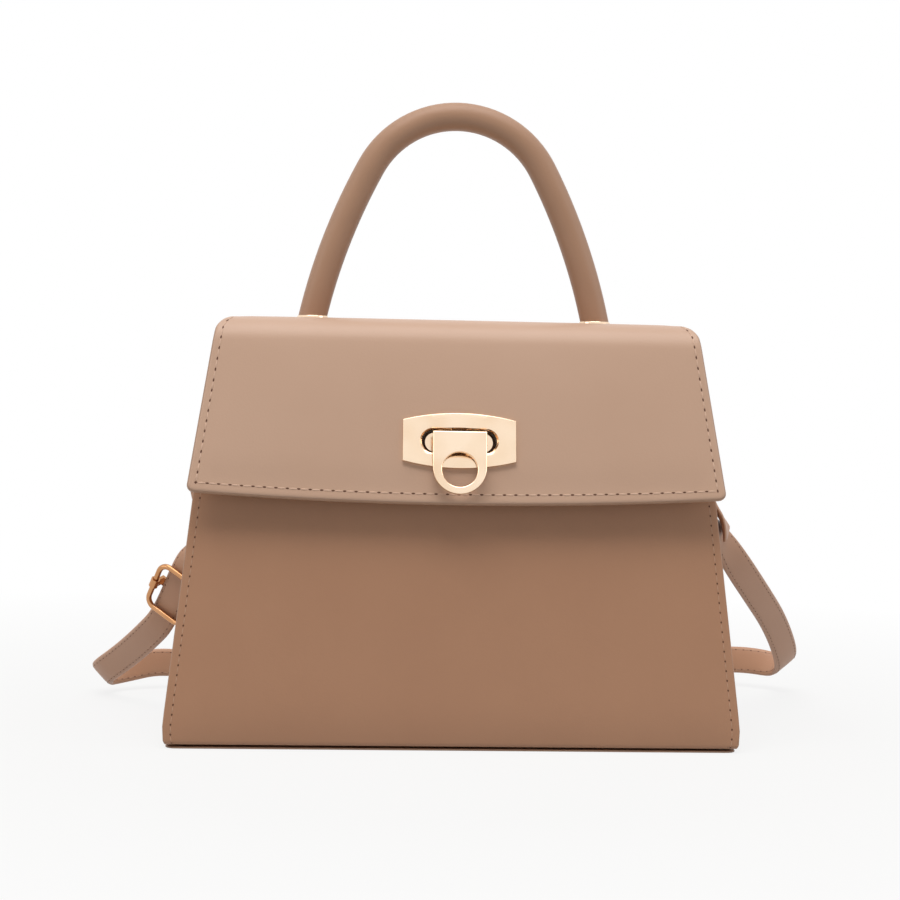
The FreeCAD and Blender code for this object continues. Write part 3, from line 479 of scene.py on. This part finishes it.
# ends of the strap, doubled back round the lower bar of each ring and pared thinner than the strap
loopSet = dict(strapSet, thick=0.0020, perSpan=8)
loopRoute = {
    "right": [((0.1108, 0.0045, 0.0790), (0.35, 0.85, 0.2)), ((0.1085, 0.0015, 0.0850), (0.1, 1, 0.05)),
              ((0.1035, 0, 0.0915), (0, 1, 0)), ((0.1008, 0, 0.0995), (0, 1, 0)),
              ((0.0955, 0, 0.0990), (0, 1, 0)), ((0.0950, 0, 0.0940), (0, 1, 0)),
              ((0.0980, 0, 0.0890), (0, 1, 0))],
    "left": [((-0.0972, 0.0040, 0.0770), (0, 1, 0)), ((-0.0962, 0.0010, 0.0870), (0, 1, 0)),
             ((-0.0945, 0, 0.0945), (0, 1, 0)), ((-0.0955, 0, 0.0990), (0, 1, 0)),
             ((-0.1000, 0, 0.0995), (0, 1, 0)), ((-0.1012, 0, 0.0950), (0, 1, 0)),
             ((-0.0995, 0, 0.0890), (0, 1, 0))]}
for label, route in loopRoute.items():
    loopFrames = stripFrames(route, loopSet["perSpan"])
    loop = addStrip(label + "StrapLoop", loopFrames, loopSet, [strapLeather])
    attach(loop, "bag_body")

# tie round the folded strap: one end laps over the other on top
tieSet = {"width": 0.005, "thick": 0.0006, "square": 0.3, "perSpan": 6, "front": 0.0998, "back": 0.1362,
          "low": 0.0003, "high": 0.0128, "corner": 0.003, "lap": 0.0008, "over": 0.112, "under": (0.124, 0.108)}
near, far, low, high, turn, lap = (tieSet[k] for k in ("front", "back", "low", "high", "corner", "lap"))
tieRoute = [(tieSet["over"], high + lap), (near + turn, high + lap / 2), (near, high), (near, high - turn),
            (near, low + turn), (near, low), (near + turn, low), (far - turn, low), (far, low),
            (far, low + turn), (far, high - turn), (far, high), (far - turn, high)]
tieRoute += [(y, high) for y in tieSet["under"]]
tieFrames = stripFrames([((0.0, y, z), (1, 0, 0)) for y, z in tieRoute], tieSet["perSpan"])
tie = addStrip("strapTie", tieFrames, tieSet, [edgePaint])
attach(tie, "bag_body")

# bag body, in mm: the outline of its panels, then their padding and seams; the ring tabs read it too
bodySet = {"half": 108.3, "taper": 0.10978, "frontLow": (-46, 0.8), "frontTop": (-30, 149),
           "backTop": (30, 154), "backLow": (46, 0.8), "knee": 2.2, "kneeSteps": 8, "tuck": 20,
           "wallInset": 4.5, "foot": 9, "footRound": 1.0, "footRoundHigh": 7,
           "thick": 1.6, "rounding": 0.5, "corner": 2.5, "step": 5,
           "belly": 1.4, "bellyLow": 4, "bellyRise": 142, "puff": 0.7, "puffRun": 9, "puffLow": 3,
           "puffRise": 8, "footTurn": 0.75, "footTurnHigh": 20, "seam": 105.2, "seamTop": 3,
           "backSeamTop": 30, "seamKnee": 0.6, "seamCuts": [-106.6, -103.8, 103.8, 106.6]}

# tabs that carry the rings: a strip of leather folded round the upper bar, flat on the side wall
tabSet = {"width": 0.012, "thick": 0.001, "square": 0.2, "perSpan": 6, "height": 104,
          "lean": (0.1091, 0.994),  # sine and cosine of the side wall's lean
          "fold": ((17, 1.55), (8, 1.55), (3.2, 1.9), (1.6, 4.4), (-2.2, 4.3), (-2.4, 0.4), (2.4, 0.55),
                   (8, 0.6), (17, 0.6))}  # mm up the wall and out from it
leanIn, leanUp = tabSet["lean"]
wallX = bodySet["half"] - bodySet["taper"] * tabSet["height"] - bodySet["wallInset"]
for side, label in ((-1, "left"), (1, "right")):
    route = []
    for up, out in tabSet["fold"]:
        spot = (side * (wallX - leanIn * up + leanUp * out), 0, tabSet["height"] + leanUp * up + leanIn * out)
        route.append((Vector(spot) * mm, (0, 1, 0)))
    tabFrames = stripFrames(route, tabSet["perSpan"])
    tab = addStrip(label + "RingTab", tabFrames, tabSet, [bodyLeather])
    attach(tab, "bag_body")
    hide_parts(label + "_ring_tab")
print("strap and rings dressed")


# panels of the body: each turns in under the bag at its foot
def panelHalf(z):
    # the lowest part stands straight and its corners turn in
    turned = bodySet["footRound"] * max(0, 1 - z / bodySet["footRoundHigh"]) ** 2
    return bodySet["half"] - bodySet["taper"] * max(z, bodySet["foot"]) - turned


def bellyAt(x, z):
    across = max(0, 1 - (x / bodySet["half"]) ** 2)
    rise = clamp((bodySet["seam"] - abs(x)) / bodySet["puffRun"])
    swell = bodySet["puff"] * rise * rise * (3 - 2 * rise)  # padding between the seams
    swell *= clamp((z - bodySet["puffLow"]) / bodySet["puffRise"])
    swell -= bodySet["footTurn"] * max(0, 1 - z / bodySet["footTurnHigh"]) ** 2  # and in towards the base
    return swell + bodySet["belly"] * across * sin(pi * clamp((z - bodySet["bellyLow"]) / bodySet["bellyRise"]))


def onPanel(run):
    def place(x, s, depth):
        flat = run(s)
        y, z = run(s, depth - bellyAt(x, flat.y))
        return x * panelHalf(flat.y) / bodySet["half"], y, z
    return place


knee, tuck = bodySet["knee"], bodySet["tuck"]
frontLow, backLow = bodySet["frontLow"], bodySet["backLow"]
frontRun, frontLengths = roundedRun([(frontLow[0] + tuck, frontLow[1]), frontLow, bodySet["frontTop"]], [knee])
backRun, backLengths = roundedRun([bodySet["backTop"], backLow, (backLow[0] - tuck, backLow[1])], [knee])
frontTotal, backTotal = sum(frontLengths), sum(backLengths)
onFront, onBack = onPanel(frontRun), onPanel(backRun)
panelAcross = evenSteps(-bodySet["half"], bodySet["half"], bodySet["step"]) + bodySet["seamCuts"]

frontAlong = bendSteps(frontLengths, 1, bodySet["kneeSteps"])
frontAlong += evenSteps(frontLengths[0] + frontLengths[1], frontTotal, bodySet["step"])
bm = leatherBlank(bodySet, 0, frontTotal, panelAcross, frontAlong)
layOn(bm, onFront)
frontPiece = addPiece("frontLeather", bm, [bodyLeather, edgePaint, bodyLeather])
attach(frontPiece, "bag_body")
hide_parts("front_panel", "front_board")

backAlong = bendSteps(backLengths, 1, bodySet["kneeSteps"]) + evenSteps(0, backLengths[0], bodySet["step"])
bm = leatherBlank(bodySet, 0, backTotal, panelAcross, backAlong)
layOn(bm, onBack)
backPiece = addPiece("backLeather", bm, [bodyLeather, edgePaint, bodyLeather])
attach(backPiece, "bag_body")
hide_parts("back_panel", "back_board")

bodySeam = {"pitch": 3.6, "thick": 0.22, "hole": (0.5, 0.42), "yarn": tanThread}
seamX, seamHigh = bodySet["seam"], frontTotal - bodySet["seamTop"]
seamLow = frontLengths[0] + frontLengths[1] * bodySet["seamKnee"]  # part of the way round the knee
seamRows = [((-seamX, seamLow), (-seamX, seamHigh)), ((seamX, seamLow), (seamX, seamHigh)),
            ((-seamX, seamHigh), (seamX, seamHigh))]
frontSeam = addSeam("frontSeam", seamRows, onFront, "body_leather", **bodySeam)
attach(frontSeam, "bag_body")
seamLow = backLengths[0] + backLengths[1] * (1 - bodySet["seamKnee"])
seamRows = [((x, bodySet["backSeamTop"]), (x, seamLow)) for x in (-seamX, seamX)]
backSeam = addSeam("backSeam", seamRows, onBack, "body_leather", **bodySeam)
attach(backSeam, "bag_body")

# side walls: they fall in between the panels, and drop to the base between the panels' tucks
wallSet = {"half": 40, "low": 2.6, "high": 147, "thick": 1.4, "rounding": 0.4, "corner": 0, "panelDepth": 1.5,
           "sag": 2.4, "sagLow": 4, "sagRise": 30, "tabMiddle": 112, "tabHalf": 12, "tabFade": 25,
           "drop": 1.7, "dropBelow": 3.6, "dropWithin": 24.9, "dropCuts": [-22.7, -22.1, 22.1, 22.7],
           "acrossStep": 5, "footHigh": 14, "footStep": 1.2, "upStep": 6}
halvings = 30  # enough to find a place to the last digit


def panelY(run, lengths, z, depth):
    # the panel's place in Y at a height, found along its own line
    low, high = 0.0, sum(lengths)
    rising = run(high).y > run(low).y
    for _ in range(halvings):
        middle = (low + high) / 2
        if (run(middle, depth).y < z) == rising:
            low = middle
        else:
            high = middle
    return run((low + high) / 2, depth).x


def wallSag(share, z):
    # the side walls fall in a little; they stay flat at the foot and behind the tab
    across = max(0, 1 - (2 * share - 1) ** 2)
    lift = clamp((z - wallSet["sagLow"]) / wallSet["sagRise"])
    lift *= clamp((abs(z - wallSet["tabMiddle"]) - wallSet["tabHalf"]) / wallSet["tabFade"])
    return wallSet["sag"] * across ** 2 * lift


def onWall(side):
    def place(x, z, depth):
        front = panelY(frontRun, frontLengths, z, wallSet["panelDepth"])
        back = panelY(backRun, backLengths, z, wallSet["panelDepth"])
        share = (x + wallSet["half"]) / (2 * wallSet["half"])
        y = front + (back - front) * share
        between = z < wallSet["dropBelow"] and abs(y) < wallSet["dropWithin"]
        away = panelHalf(z) - bodySet["wallInset"] - wallSag(share, z) - depth
        return side * away, y, z - (wallSet["drop"] if between else 0)
    return place


wallLow, wallHigh, footHigh = (wallSet[k] for k in ("low", "high", "footHigh"))
wallAcross = evenSteps(-wallSet["half"], wallSet["half"], wallSet["acrossStep"]) + wallSet["dropCuts"]
wallAlong = evenSteps(wallLow, footHigh, wallSet["footStep"])
wallAlong += evenSteps(footHigh, wallHigh, wallSet["upStep"]) + [footHigh]
for side, label in ((-1, "left"), (1, "right")):
    bm = leatherBlank(wallSet, wallLow, wallHigh, wallAcross, wallAlong)
    layOn(bm, onWall(side))
    wall = addPiece(label + "SideLeather", bm, [bodyLeather, edgePaint, twill])
    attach(wall, "bag_body")
    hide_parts(label + "_gusset")

# base: one flat leather panel with rounded corners
baseSet = {"half": 106.4, "halfDeep": 44, "thick": 0.7, "rounding": 0.25, "corner": 4, "step": 10}
baseAcross = evenSteps(-baseSet["half"], baseSet["half"], baseSet["step"])
baseAlong = evenSteps(-baseSet["halfDeep"], baseSet["halfDeep"], baseSet["step"])
bm = leatherBlank(baseSet, -baseSet["halfDeep"], baseSet["halfDeep"], baseAcross, baseAlong)
layOn(bm, lambda x, y, depth: (x, y, baseSet["thick"] - depth))
basePiece = addPiece("baseLeather", bm, [bodyLeather, edgePaint, bodyLeather])
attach(basePiece, "bag_body")
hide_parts("base_panel")
print("body made")

# lining: one open box of cloth, a little loose, with its top edge turned out to the leather
liningSet = {"low": 6.8, "high": 147.0, "side": 6.8, "depth": 4.5, "sag": 1.2, "lip": 2.6, "lipSide": 0.6,
             "acrossStep": 0.2, "upStep": 0.1, "thick": 0.0008}  # steps as shares of half the box
bm = bmesh.new()
bmesh.ops.create_cube(bm, size=2)
bmesh.ops.delete(bm, geom=[f for f in bm.faces if f.normal.z > 0.9], context="FACES_ONLY")
for axis in ((1, 0, 0), (0, 1, 0), (0, 0, 1)):
    for cut in evenSteps(-1, 1, liningSet["upStep" if axis[2] else "acrossStep"]):
        bmesh.ops.bisect_plane(bm, geom=wholeMesh(bm), plane_co=Vector(axis) * cut, plane_no=axis)
rimEdges = [e for e in bm.edges if e.is_boundary]
lip = bmesh.ops.extrude_edge_only(bm, edges=rimEdges)["geom"]
lipVerts = {g for g in lip if isinstance(g, bmesh.types.BMVert)}
for v in bm.verts:
    out, wide = (liningSet["lip"], liningSet["lipSide"]) if v in lipVerts else (0.0, 0.0)
    z = liningSet["low"] + (liningSet["high"] - liningSet["low"]) * (v.co.z + 1) / 2
    front = panelY(frontRun, frontLengths, z, liningSet["depth"] - out)
    back = panelY(backRun, backLengths, z, liningSet["depth"] - out)
    loose = liningSet["sag"] * (1 - v.co.z ** 2) * (1 - v.co.x ** 2) * v.co.y
    x = v.co.x * (panelHalf(z) - liningSet["side"] - wallSag((v.co.y + 1) / 2, z) + wide)
    v.co = Vector((x, front + (back - front) * (v.co.y + 1) / 2 - loose, z)) * mm
bmesh.ops.recalc_face_normals(bm, faces=bm.faces)
liningPiece = addPiece("liningShell", bm, [twill])
liningPiece.modifiers.new("thickness", "SOLIDIFY").thickness = liningSet["thick"]
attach(liningPiece, "bag_body")
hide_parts("lining_body", "lining_left", "lining_right")

# slip pocket on the back of the lining: it gapes a little at its hemmed top
pocketSet = {"half": 60, "low": 42, "high": 112, "thick": 1.0, "rounding": 0.3, "corner": 4, "acrossStep": 6,
             "upStep": 5, "gape": 3.0, "panelDepth": 4.6, "stand": 2.2}


def onPocket(x, z, depth):
    share = (z - pocketSet["low"]) / (pocketSet["high"] - pocketSet["low"])
    gape = pocketSet["gape"] * share ** 2 * (1 - (x / pocketSet["half"]) ** 2)
    back = panelY(backRun, backLengths, z, pocketSet["panelDepth"])
    return x, back - gape - pocketSet["stand"] + depth, z


pocketAcross = evenSteps(-pocketSet["half"], pocketSet["half"], pocketSet["acrossStep"])
pocketAlong = evenSteps(pocketSet["low"], pocketSet["high"], pocketSet["upStep"])
bm = leatherBlank(pocketSet, pocketSet["low"], pocketSet["high"], pocketAcross, pocketAlong)
layOn(bm, onPocket)
pocketPiece = addPiece("slipPocket", bm, [twill, twill, twill])
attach(pocketPiece, "bag_body")
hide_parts("slip_pocket")
print("lining made")

# flap: outer leather, board and lining as one thick sheet that bends over the top
flapSet = {"foot": (-48.430, 91.8), "crown": (-32.537, 160), "rear": (31.077, 160), "tail": (34.659, 126),
           "crownRound": 12, "rearRound": 5, "half": 100.5, "taper": 0.14663, "shoulder": 5, "split": 108.6,
           "thick": 3.6, "rounding": 1.3, "rearRounding": 0.7, "corner": 3, "step": 5, "frontStep": 4.5,
           "bendSteps": 12, "rearSteps": 8, "bow": 3.4, "bowReach": 45, "puff": 0.6, "puffRun": 7,
           "puffRise": 12, "puffReach": 100, "belly": 1.2, "bellyLean": 1.5, "bendAt": 68, "crownSwell": 0.3,
           "crownRun": 13, "skin": 1.5, "seam": 3.7, "seamSide": 97.2, "seamHigh": 74, "tailSeam": 3,
           "lowCuts": [2.2, 3.7, 5.2, 7, 9, 11, 13],
           "sideCuts": [-98.6, -97.2, -94, -92, 92, 94, 97.2, 98.6]}
windowSet = {"half": 14.8, "low": 18.3, "high": 28.7}  # opening behind the slot of the lock plate
flapRun, flapLengths = roundedRun([flapSet["foot"], flapSet["crown"], flapSet["rear"], flapSet["tail"]],
                                  [flapSet["crownRound"], flapSet["rearRound"]])
flapTotal = sum(flapLengths)
bendStart, topStart, rearStart = flapLengths[0], sum(flapLengths[:2]), sum(flapLengths[:3])


def flapHalf(s, z):
    shoulder = flapSet["shoulder"]
    over = max(0, z - (flapSet["crown"][1] - shoulder))
    rounded = shoulder - sqrt(max(0, shoulder ** 2 - over ** 2))
    front, back = flapSet["half"] - flapSet["taper"] * (z - flapSet["foot"][1]), panelHalf(z)
    share = clamp((s - topStart) / (rearStart - topStart))
    return front + (back - front) * share - rounded


def onFlap(x, s, depth):
    share, above = x / flapSet["half"], s - flapSet["seam"]
    lift = flapSet["bow"] * share ** 2 * clamp(1 - s / flapSet["bowReach"])  # the low edge is bowed
    inset = clamp((flapSet["seamSide"] - abs(x)) / flapSet["puffRun"]) * clamp(above / flapSet["puffRise"])
    swell = flapSet["puff"] * inset * inset * (3 - 2 * inset)  # the leather swells between the seams
    swell *= max(0, 1 - s / flapSet["puffReach"])
    rise = clamp(above / flapSet["bendAt"]) ** flapSet["bellyLean"]
    crown = flapSet["crownSwell"] * exp(-((s - flapSet["bendAt"]) / flapSet["crownRun"]) ** 2)
    swell += (flapSet["belly"] * sin(pi * rise) + crown) * max(0, 1 - share ** 4)
    y, z = flapRun(s + lift, depth - (swell if depth < flapSet["skin"] else 0))
    return x * flapHalf(s, flapRun(s + lift).y) / flapSet["half"], y, z


split, flapStep = flapSet["split"], flapSet["step"]
flapAcross = evenSteps(-flapSet["half"], flapSet["half"], flapStep) + flapSet["sideCuts"]
flapAlong = flapSet["lowCuts"] + evenSteps(flapSet["lowCuts"][-1], bendStart, flapSet["frontStep"])
flapAlong += [windowSet["low"], windowSet["high"]] + bendSteps(flapLengths, 1, flapSet["bendSteps"])
flapAlong += evenSteps(topStart, split, flapStep)
windowSides = [-windowSet["half"], windowSet["half"]]
bm = leatherBlank(flapSet, 0, split, flapAcross + windowSides, flapAlong, [split])
window = [f for f in bm.faces if abs(f.calc_center_median().x) < windowSet["half"]
          and windowSet["low"] < f.calc_center_median().y < windowSet["high"]]
bmesh.ops.delete(bm, geom=window, context="FACES")
hem = [e for e in bm.edges if e.is_boundary and e.verts[0].co.y < bendStart]
bmesh.ops.bridge_loops(bm, edges=hem)
layOn(bm, onFlap)
flapFront = addPiece("flapFrontLeather", bm, [flapLeatherPaintedSheen, edgePaint, twill])
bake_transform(flapFront)
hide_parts("flap_front", "flap_front_board", "flap_front_lining",
            "flap_top", "flap_top_board", "flap_top_lining")

rearBend = bendSteps(flapLengths, 3, flapSet["rearSteps"])
rearAlong = evenSteps(split, rearStart, flapStep) + rearBend + evenSteps(rearBend[-1], flapTotal, flapStep)
rearSet = dict(flapSet, rounding=flapSet["rearRounding"])
bm = leatherBlank(rearSet, split, flapTotal, flapAcross, rearAlong, [split])
layOn(bm, onFlap)
flapRear = addPiece("flapRearLeather", bm, [flapLeatherPaintedSheen, edgePaint, twill])
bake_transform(flapRear)
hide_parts("flap_tail")

seamX, seamLow, seamHigh = flapSet["seamSide"], flapSet["seam"], flapSet["seamHigh"]
seamRows = [((-seamX, seamLow), (-seamX, seamHigh)), ((seamX, seamLow), (seamX, seamHigh)),
            ((-seamX, seamLow), (seamX, seamLow))]
flapSeam = addSeam("flapSeam", seamRows, onFlap, "flap_leather", pitch=4.2, thick=0.36, hole=(0.8, 0.4))
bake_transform(flapSeam)
seamLow, seamHigh = flapTotal - flapSet["tailSeam"], rearBend[-1] + flapSet["tailSeam"]
seamRows = [((-seamX, seamLow), (seamX, seamLow)), ((-seamX, seamLow), (-seamX, seamHigh)),
            ((seamX, seamLow), (seamX, seamHigh))]
tailSeam = addSeam("tailSeam", seamRows, onFlap, "flap_leather", pitch=4.2)
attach(tailSeam, "bag_body")
print("flap made")

# lock plate: its face dishes in round the slot and its edge is eased
plateSet = {"width": 42, "endHigh": 15.4, "bulge": 2.7, "slot": (28, 8.8), "back": 0.1, "front": 2.3,
            "dish": 0.6, "dishRun": 3.2, "faceAt": (0.6, 1.2, 1.9, 2.6, 3.2), "slotLip": 0.9, "edge": 0.35,
            "ease": 0.3, "spot": (0, -43.093, 114.7), "up": (0, 0.2270, 0.9739), "out": (0, -0.9739, 0.2270)}


def plateRim(steps=24, sideSteps=8):
    # points round the outline: two bowed edges and two straight ends
    half, end, bulge = plateSet["width"] / 2, plateSet["endHigh"] / 2, plateSet["bulge"]
    bow = (half ** 2 + bulge ** 2) / (2 * bulge)
    top = [Vector((-half + 2 * half * i / steps, 0)) for i in range(steps)]
    for point in top:
        point.y = end + sqrt(bow ** 2 - point.x ** 2) - (bow - bulge)
    side = [Vector((half, end - 2 * end * i / sideSteps)) for i in range(sideSteps)]
    return top + side + [-point for point in top] + [-point for point in side]


def slotPoint(rim):
    # where the line from the middle to a point of the outline crosses the slot
    radius = plateSet["slot"][1] / 2
    straight = plateSet["slot"][0] / 2 - radius
    low, high = 0.0, 1.0
    for _ in range(halvings):
        share = (low + high) / 2
        inside = hypot(max(abs(rim.x * share) - straight, 0), rim.y * share) < radius
        low, high = (share, high) if inside else (low, share)
    return rim * low


def plateRows(reach):
    # distance from the slot and height: up the slot's wall, over the face and down the outside
    back, front, run, edge = (plateSet[k] for k in ("back", "front", "dishRun", "edge"))
    face = [(d, front - plateSet["dish"] * (1 - d / run) ** 2) for d in plateSet["faceAt"]]
    ease = edge * plateSet["ease"]
    outside = [(reach - edge, front), (reach - ease, front - ease), (reach, front - edge), (reach, back)]
    return [(0, back), (0, face[0][1] - plateSet["slotLip"])] + face + outside


rims = plateRim()
bm = bmesh.new()
rowCount = len(plateRows(plateSet["width"]))  # the same for any reach
bmesh.ops.create_grid(bm, x_segments=len(rims), y_segments=rowCount, size=1)
spot, up, outward = (Vector(plateSet[k]) for k in ("spot", "up", "out"))
for v in bm.verts:
    rim = rims[round((v.co.x + 1) / 2 * len(rims)) % len(rims)]
    inner = slotPoint(rim)
    away, height = plateRows((rim - inner).length)[round((v.co.y + 1) / 2 * rowCount) % rowCount]
    flat = inner + (rim - inner).normalized() * away
    v.co = (spot + Vector((flat.x, 0, 0)) + up * flat.y + outward * height) * mm
bmesh.ops.remove_doubles(bm, verts=bm.verts, dist=1e-6)
bmesh.ops.recalc_face_normals(bm, faces=bm.faces)
platePiece = addPiece("lockPlateFace", bm, [paleGold], smoothAngle=30)
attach(platePiece, "flap_front")
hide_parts("lock_plate")
print("lock plate made")

# handle: a stuffed leather tube, spun round three arcs
handleSet = {"radius": 5.5, "around": 28, "crown": 38.0, "centre": (0, 0, 202.6), "turn": 62, "turnSteps": 16,
             "side": 233.9, "sideTurn": 16.2, "sideSteps": 18, "seat": 161.6, "merge": 0.01,
             "lump": 0.16, "lumpWaves": (0.21, 0.13, 0.17), "lumpLow": 164, "lumpRise": 10}
bm = bmesh.new()
centre = Vector(handleSet["centre"])
apex = centre + Vector((0, 0, handleSet["crown"]))
ring = bmesh.ops.create_circle(bm, segments=handleSet["around"], radius=handleSet["radius"],
                               matrix=Matrix.Translation(apex) @ Matrix.Rotation(radians(90), 4, "Y"))["verts"]
edges = list({e for v in ring for e in v.link_edges})
out = bmesh.ops.spin(bm, geom=ring + edges, cent=centre, axis=(0, 1, 0), angle=radians(handleSet["turn"]),
                     steps=handleSet["turnSteps"])
join = apex - centre
join.rotate(Matrix.Rotation(radians(handleSet["turn"]), 3, "Y"))
sideCentre = centre + join - join.normalized() * handleSet["side"]
bmesh.ops.spin(bm, geom=out["geom_last"], cent=sideCentre, axis=(0, 1, 0), angle=radians(handleSet["sideTurn"]),
               steps=handleSet["sideSteps"])
bmesh.ops.mirror(bm, geom=wholeMesh(bm), axis="X", merge_dist=handleSet["merge"])
bmesh.ops.remove_doubles(bm, verts=bm.verts, dist=handleSet["merge"])
cut = bmesh.ops.bisect_plane(bm, geom=wholeMesh(bm), plane_co=(0, 0, handleSet["seat"]), plane_no=(0, 0, 1),
                             clear_inner=True)["geom_cut"]
bmesh.ops.holes_fill(bm, edges=[g for g in cut if isinstance(g, bmesh.types.BMEdge)])
waveX, waveZ, waveUp = handleSet["lumpWaves"]
for v in bm.verts:  # the stuffing is a little uneven
    lump = handleSet["lump"] * sin(v.co.x * waveX + v.co.z * waveZ) * sin(v.co.z * waveUp + 1.0)
    lump *= clamp((v.co.z - handleSet["lumpLow"]) / handleSet["lumpRise"])
    v.co.y *= 1 + lump / handleSet["radius"]
    v.co *= mm
bmesh.ops.recalc_face_normals(bm, faces=bm.faces)
handlePiece = addPiece("handleLeather", bm, [handleLeather])
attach(handlePiece, "flap_top")
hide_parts("handle_sleeve")
print("handle made")

# ferrules at the handle's feet: turned rings with an eased upper lip
ferruleSet = {"foot": 55.5, "lean": 0.215, "leanFrom": 160.8, "around": 48,
              "profile": [(5.2, 159.9), (6.2, 159.9), (6.2, 160.5), (6.0, 160.8), (6.0, 161.5), (5.8, 161.8),
                          (5.2, 161.8)]}  # radius and height
for side, label in ((-1, "left"), (1, "right")):
    bm = bmesh.new()
    corners = [bm.verts.new((side * ferruleSet["foot"] + r, 0, z)) for r, z in ferruleSet["profile"]]
    edges = [bm.edges.new(pair) for pair in zip(corners, corners[1:] + corners[:1])]
    bmesh.ops.spin(bm, geom=corners + edges, cent=(side * ferruleSet["foot"], 0, 0), axis=(0, 0, 1),
                   angle=2 * pi, steps=ferruleSet["around"], use_merge=True)
    bmesh.ops.remove_doubles(bm, verts=bm.verts, dist=tiny)
    bmesh.ops.recalc_face_normals(bm, faces=bm.faces)
    for v in bm.verts:  # it leans in with the handle
        v.co.x -= side * ferruleSet["lean"] * (v.co.z - ferruleSet["leanFrom"])
    bmesh.ops.scale(bm, vec=(mm, mm, mm), verts=bm.verts)
    ferrule = addPiece(label + "HandleFerrule", bm, [paleGold])
    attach(ferrule, "flap_top")
    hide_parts("handle_collar_" + label)
print("ferrules made")

# floor and light: the floor fades to plain white away from the bag, and keeps its shadow near it
stageSet = {"floor": 12.0, "floorColor": "#c6c4c0", "near": 0.83, "fade": (0.16, 0.55)}


def seenRays(tree):
    # 1 where the eye sees the background, straight, mirrored or through something clear
    rays = addNode(tree, "ShaderNodeLightPath").outputs
    seen = addNode(tree, "ShaderNodeMath", {
        0: rays["Is Camera Ray"], 1: rays["Is Glossy Ray"]}, operation="MAXIMUM")
    seen = addNode(tree, "ShaderNodeMath", {
        0: seen.outputs[0], 1: rays["Is Transmission Ray"]}, operation="MAXIMUM")
    return seen.outputs[0]


def addFloor():
    bm = bmesh.new()
    bmesh.ops.create_grid(bm, x_segments=1, y_segments=1, size=stageSet["floor"] / 2)
    mesh = bpy.data.meshes.new("floor")
    bm.to_mesh(mesh)
    bm.free()
    floor = bpy.data.objects.new("floor", mesh)
    scene.collection.objects.link(floor)
    material, tree = newMaterial("pale_paper_floor")
    seen = seenRays(tree)
    place = addNode(tree, "ShaderNodeTexCoord").outputs["Object"]
    away = addNode(tree, "ShaderNodeVectorMath", {0: place}, operation="LENGTH")
    fadeStart, fadeEnd = stageSet["fade"]
    plain = addNode(tree, "ShaderNodeMapRange", {
        "Value": away.outputs["Value"], "From Min": fadeStart, "From Max": fadeEnd,
        "To Min": stageSet["near"], "To Max": 1.0})
    share = addNode(tree, "ShaderNodeMath", {0: seen, 1: plain.outputs[0]}, operation="MULTIPLY")
    paper = addNode(tree, "ShaderNodeBsdfDiffuse", {"Color": hexColor(stageSet["floorColor"])})
    glow = addNode(tree, "ShaderNodeEmission", {"Color": (1, 1, 1, 1), "Strength": 1.0})
    mix = addNode(tree, "ShaderNodeMixShader", {0: share.outputs[0], 1: paper.outputs[0], 2: glow.outputs[0]})
    addNode(tree, "ShaderNodeOutputMaterial", {"Surface": mix.outputs[0]})
    mesh.materials.append(material)


addFloor()
# place, width, height and power of each lamp
lampSet = {"key": ((-0.35, -1.0, 2.1), 2.0, 0.8, 30.5), "top": ((0.0, -0.35, 1.6), 1.6, 1.2, 15.0),
           "left": ((-1.5, -0.5, 0.6), 0.8, 0.9, 2.6), "right": ((1.5, -0.5, 0.6), 0.8, 0.9, 3.4),
           "rear": ((0.3, 1.7, 1.3), 1.8, 1.2, 8.0)}
worldSet = {"light": 0.15, "seen": 1.0, "aim": (0, 0, 0.1), "unmirrored": ("key", "rear")}


def addLamps():
    for name, (spot, wide, high, watts) in lampSet.items():
        data = bpy.data.lights.new(name, "AREA")
        data.shape, data.size, data.size_y, data.energy = "RECTANGLE", wide, high, watts
        lamp = bpy.data.objects.new(name, data)
        lamp.location = spot
        lamp.visible_glossy = name not in worldSet["unmirrored"]  # the metal mirrors the pale room, not these
        lamp.rotation_euler = (Vector(worldSet["aim"]) - Vector(spot)).to_track_quat("-Z", "Y").to_euler()
        scene.collection.objects.link(lamp)
    world = bpy.data.worlds.new("studio")
    scene.world = world
    world.use_nodes = True
    tree = world.node_tree
    tree.nodes.clear()
    strength = addNode(tree, "ShaderNodeMapRange", {
        "Value": seenRays(tree), "To Min": worldSet["light"], "To Max": worldSet["seen"]})
    sky = addNode(tree, "ShaderNodeBackground", {"Color": (1, 1, 1, 1), "Strength": strength.outputs[0]})
    addNode(tree, "ShaderNodeOutputWorld", {"Surface": sky.outputs[0]})


addLamps()
print("floor and light set")
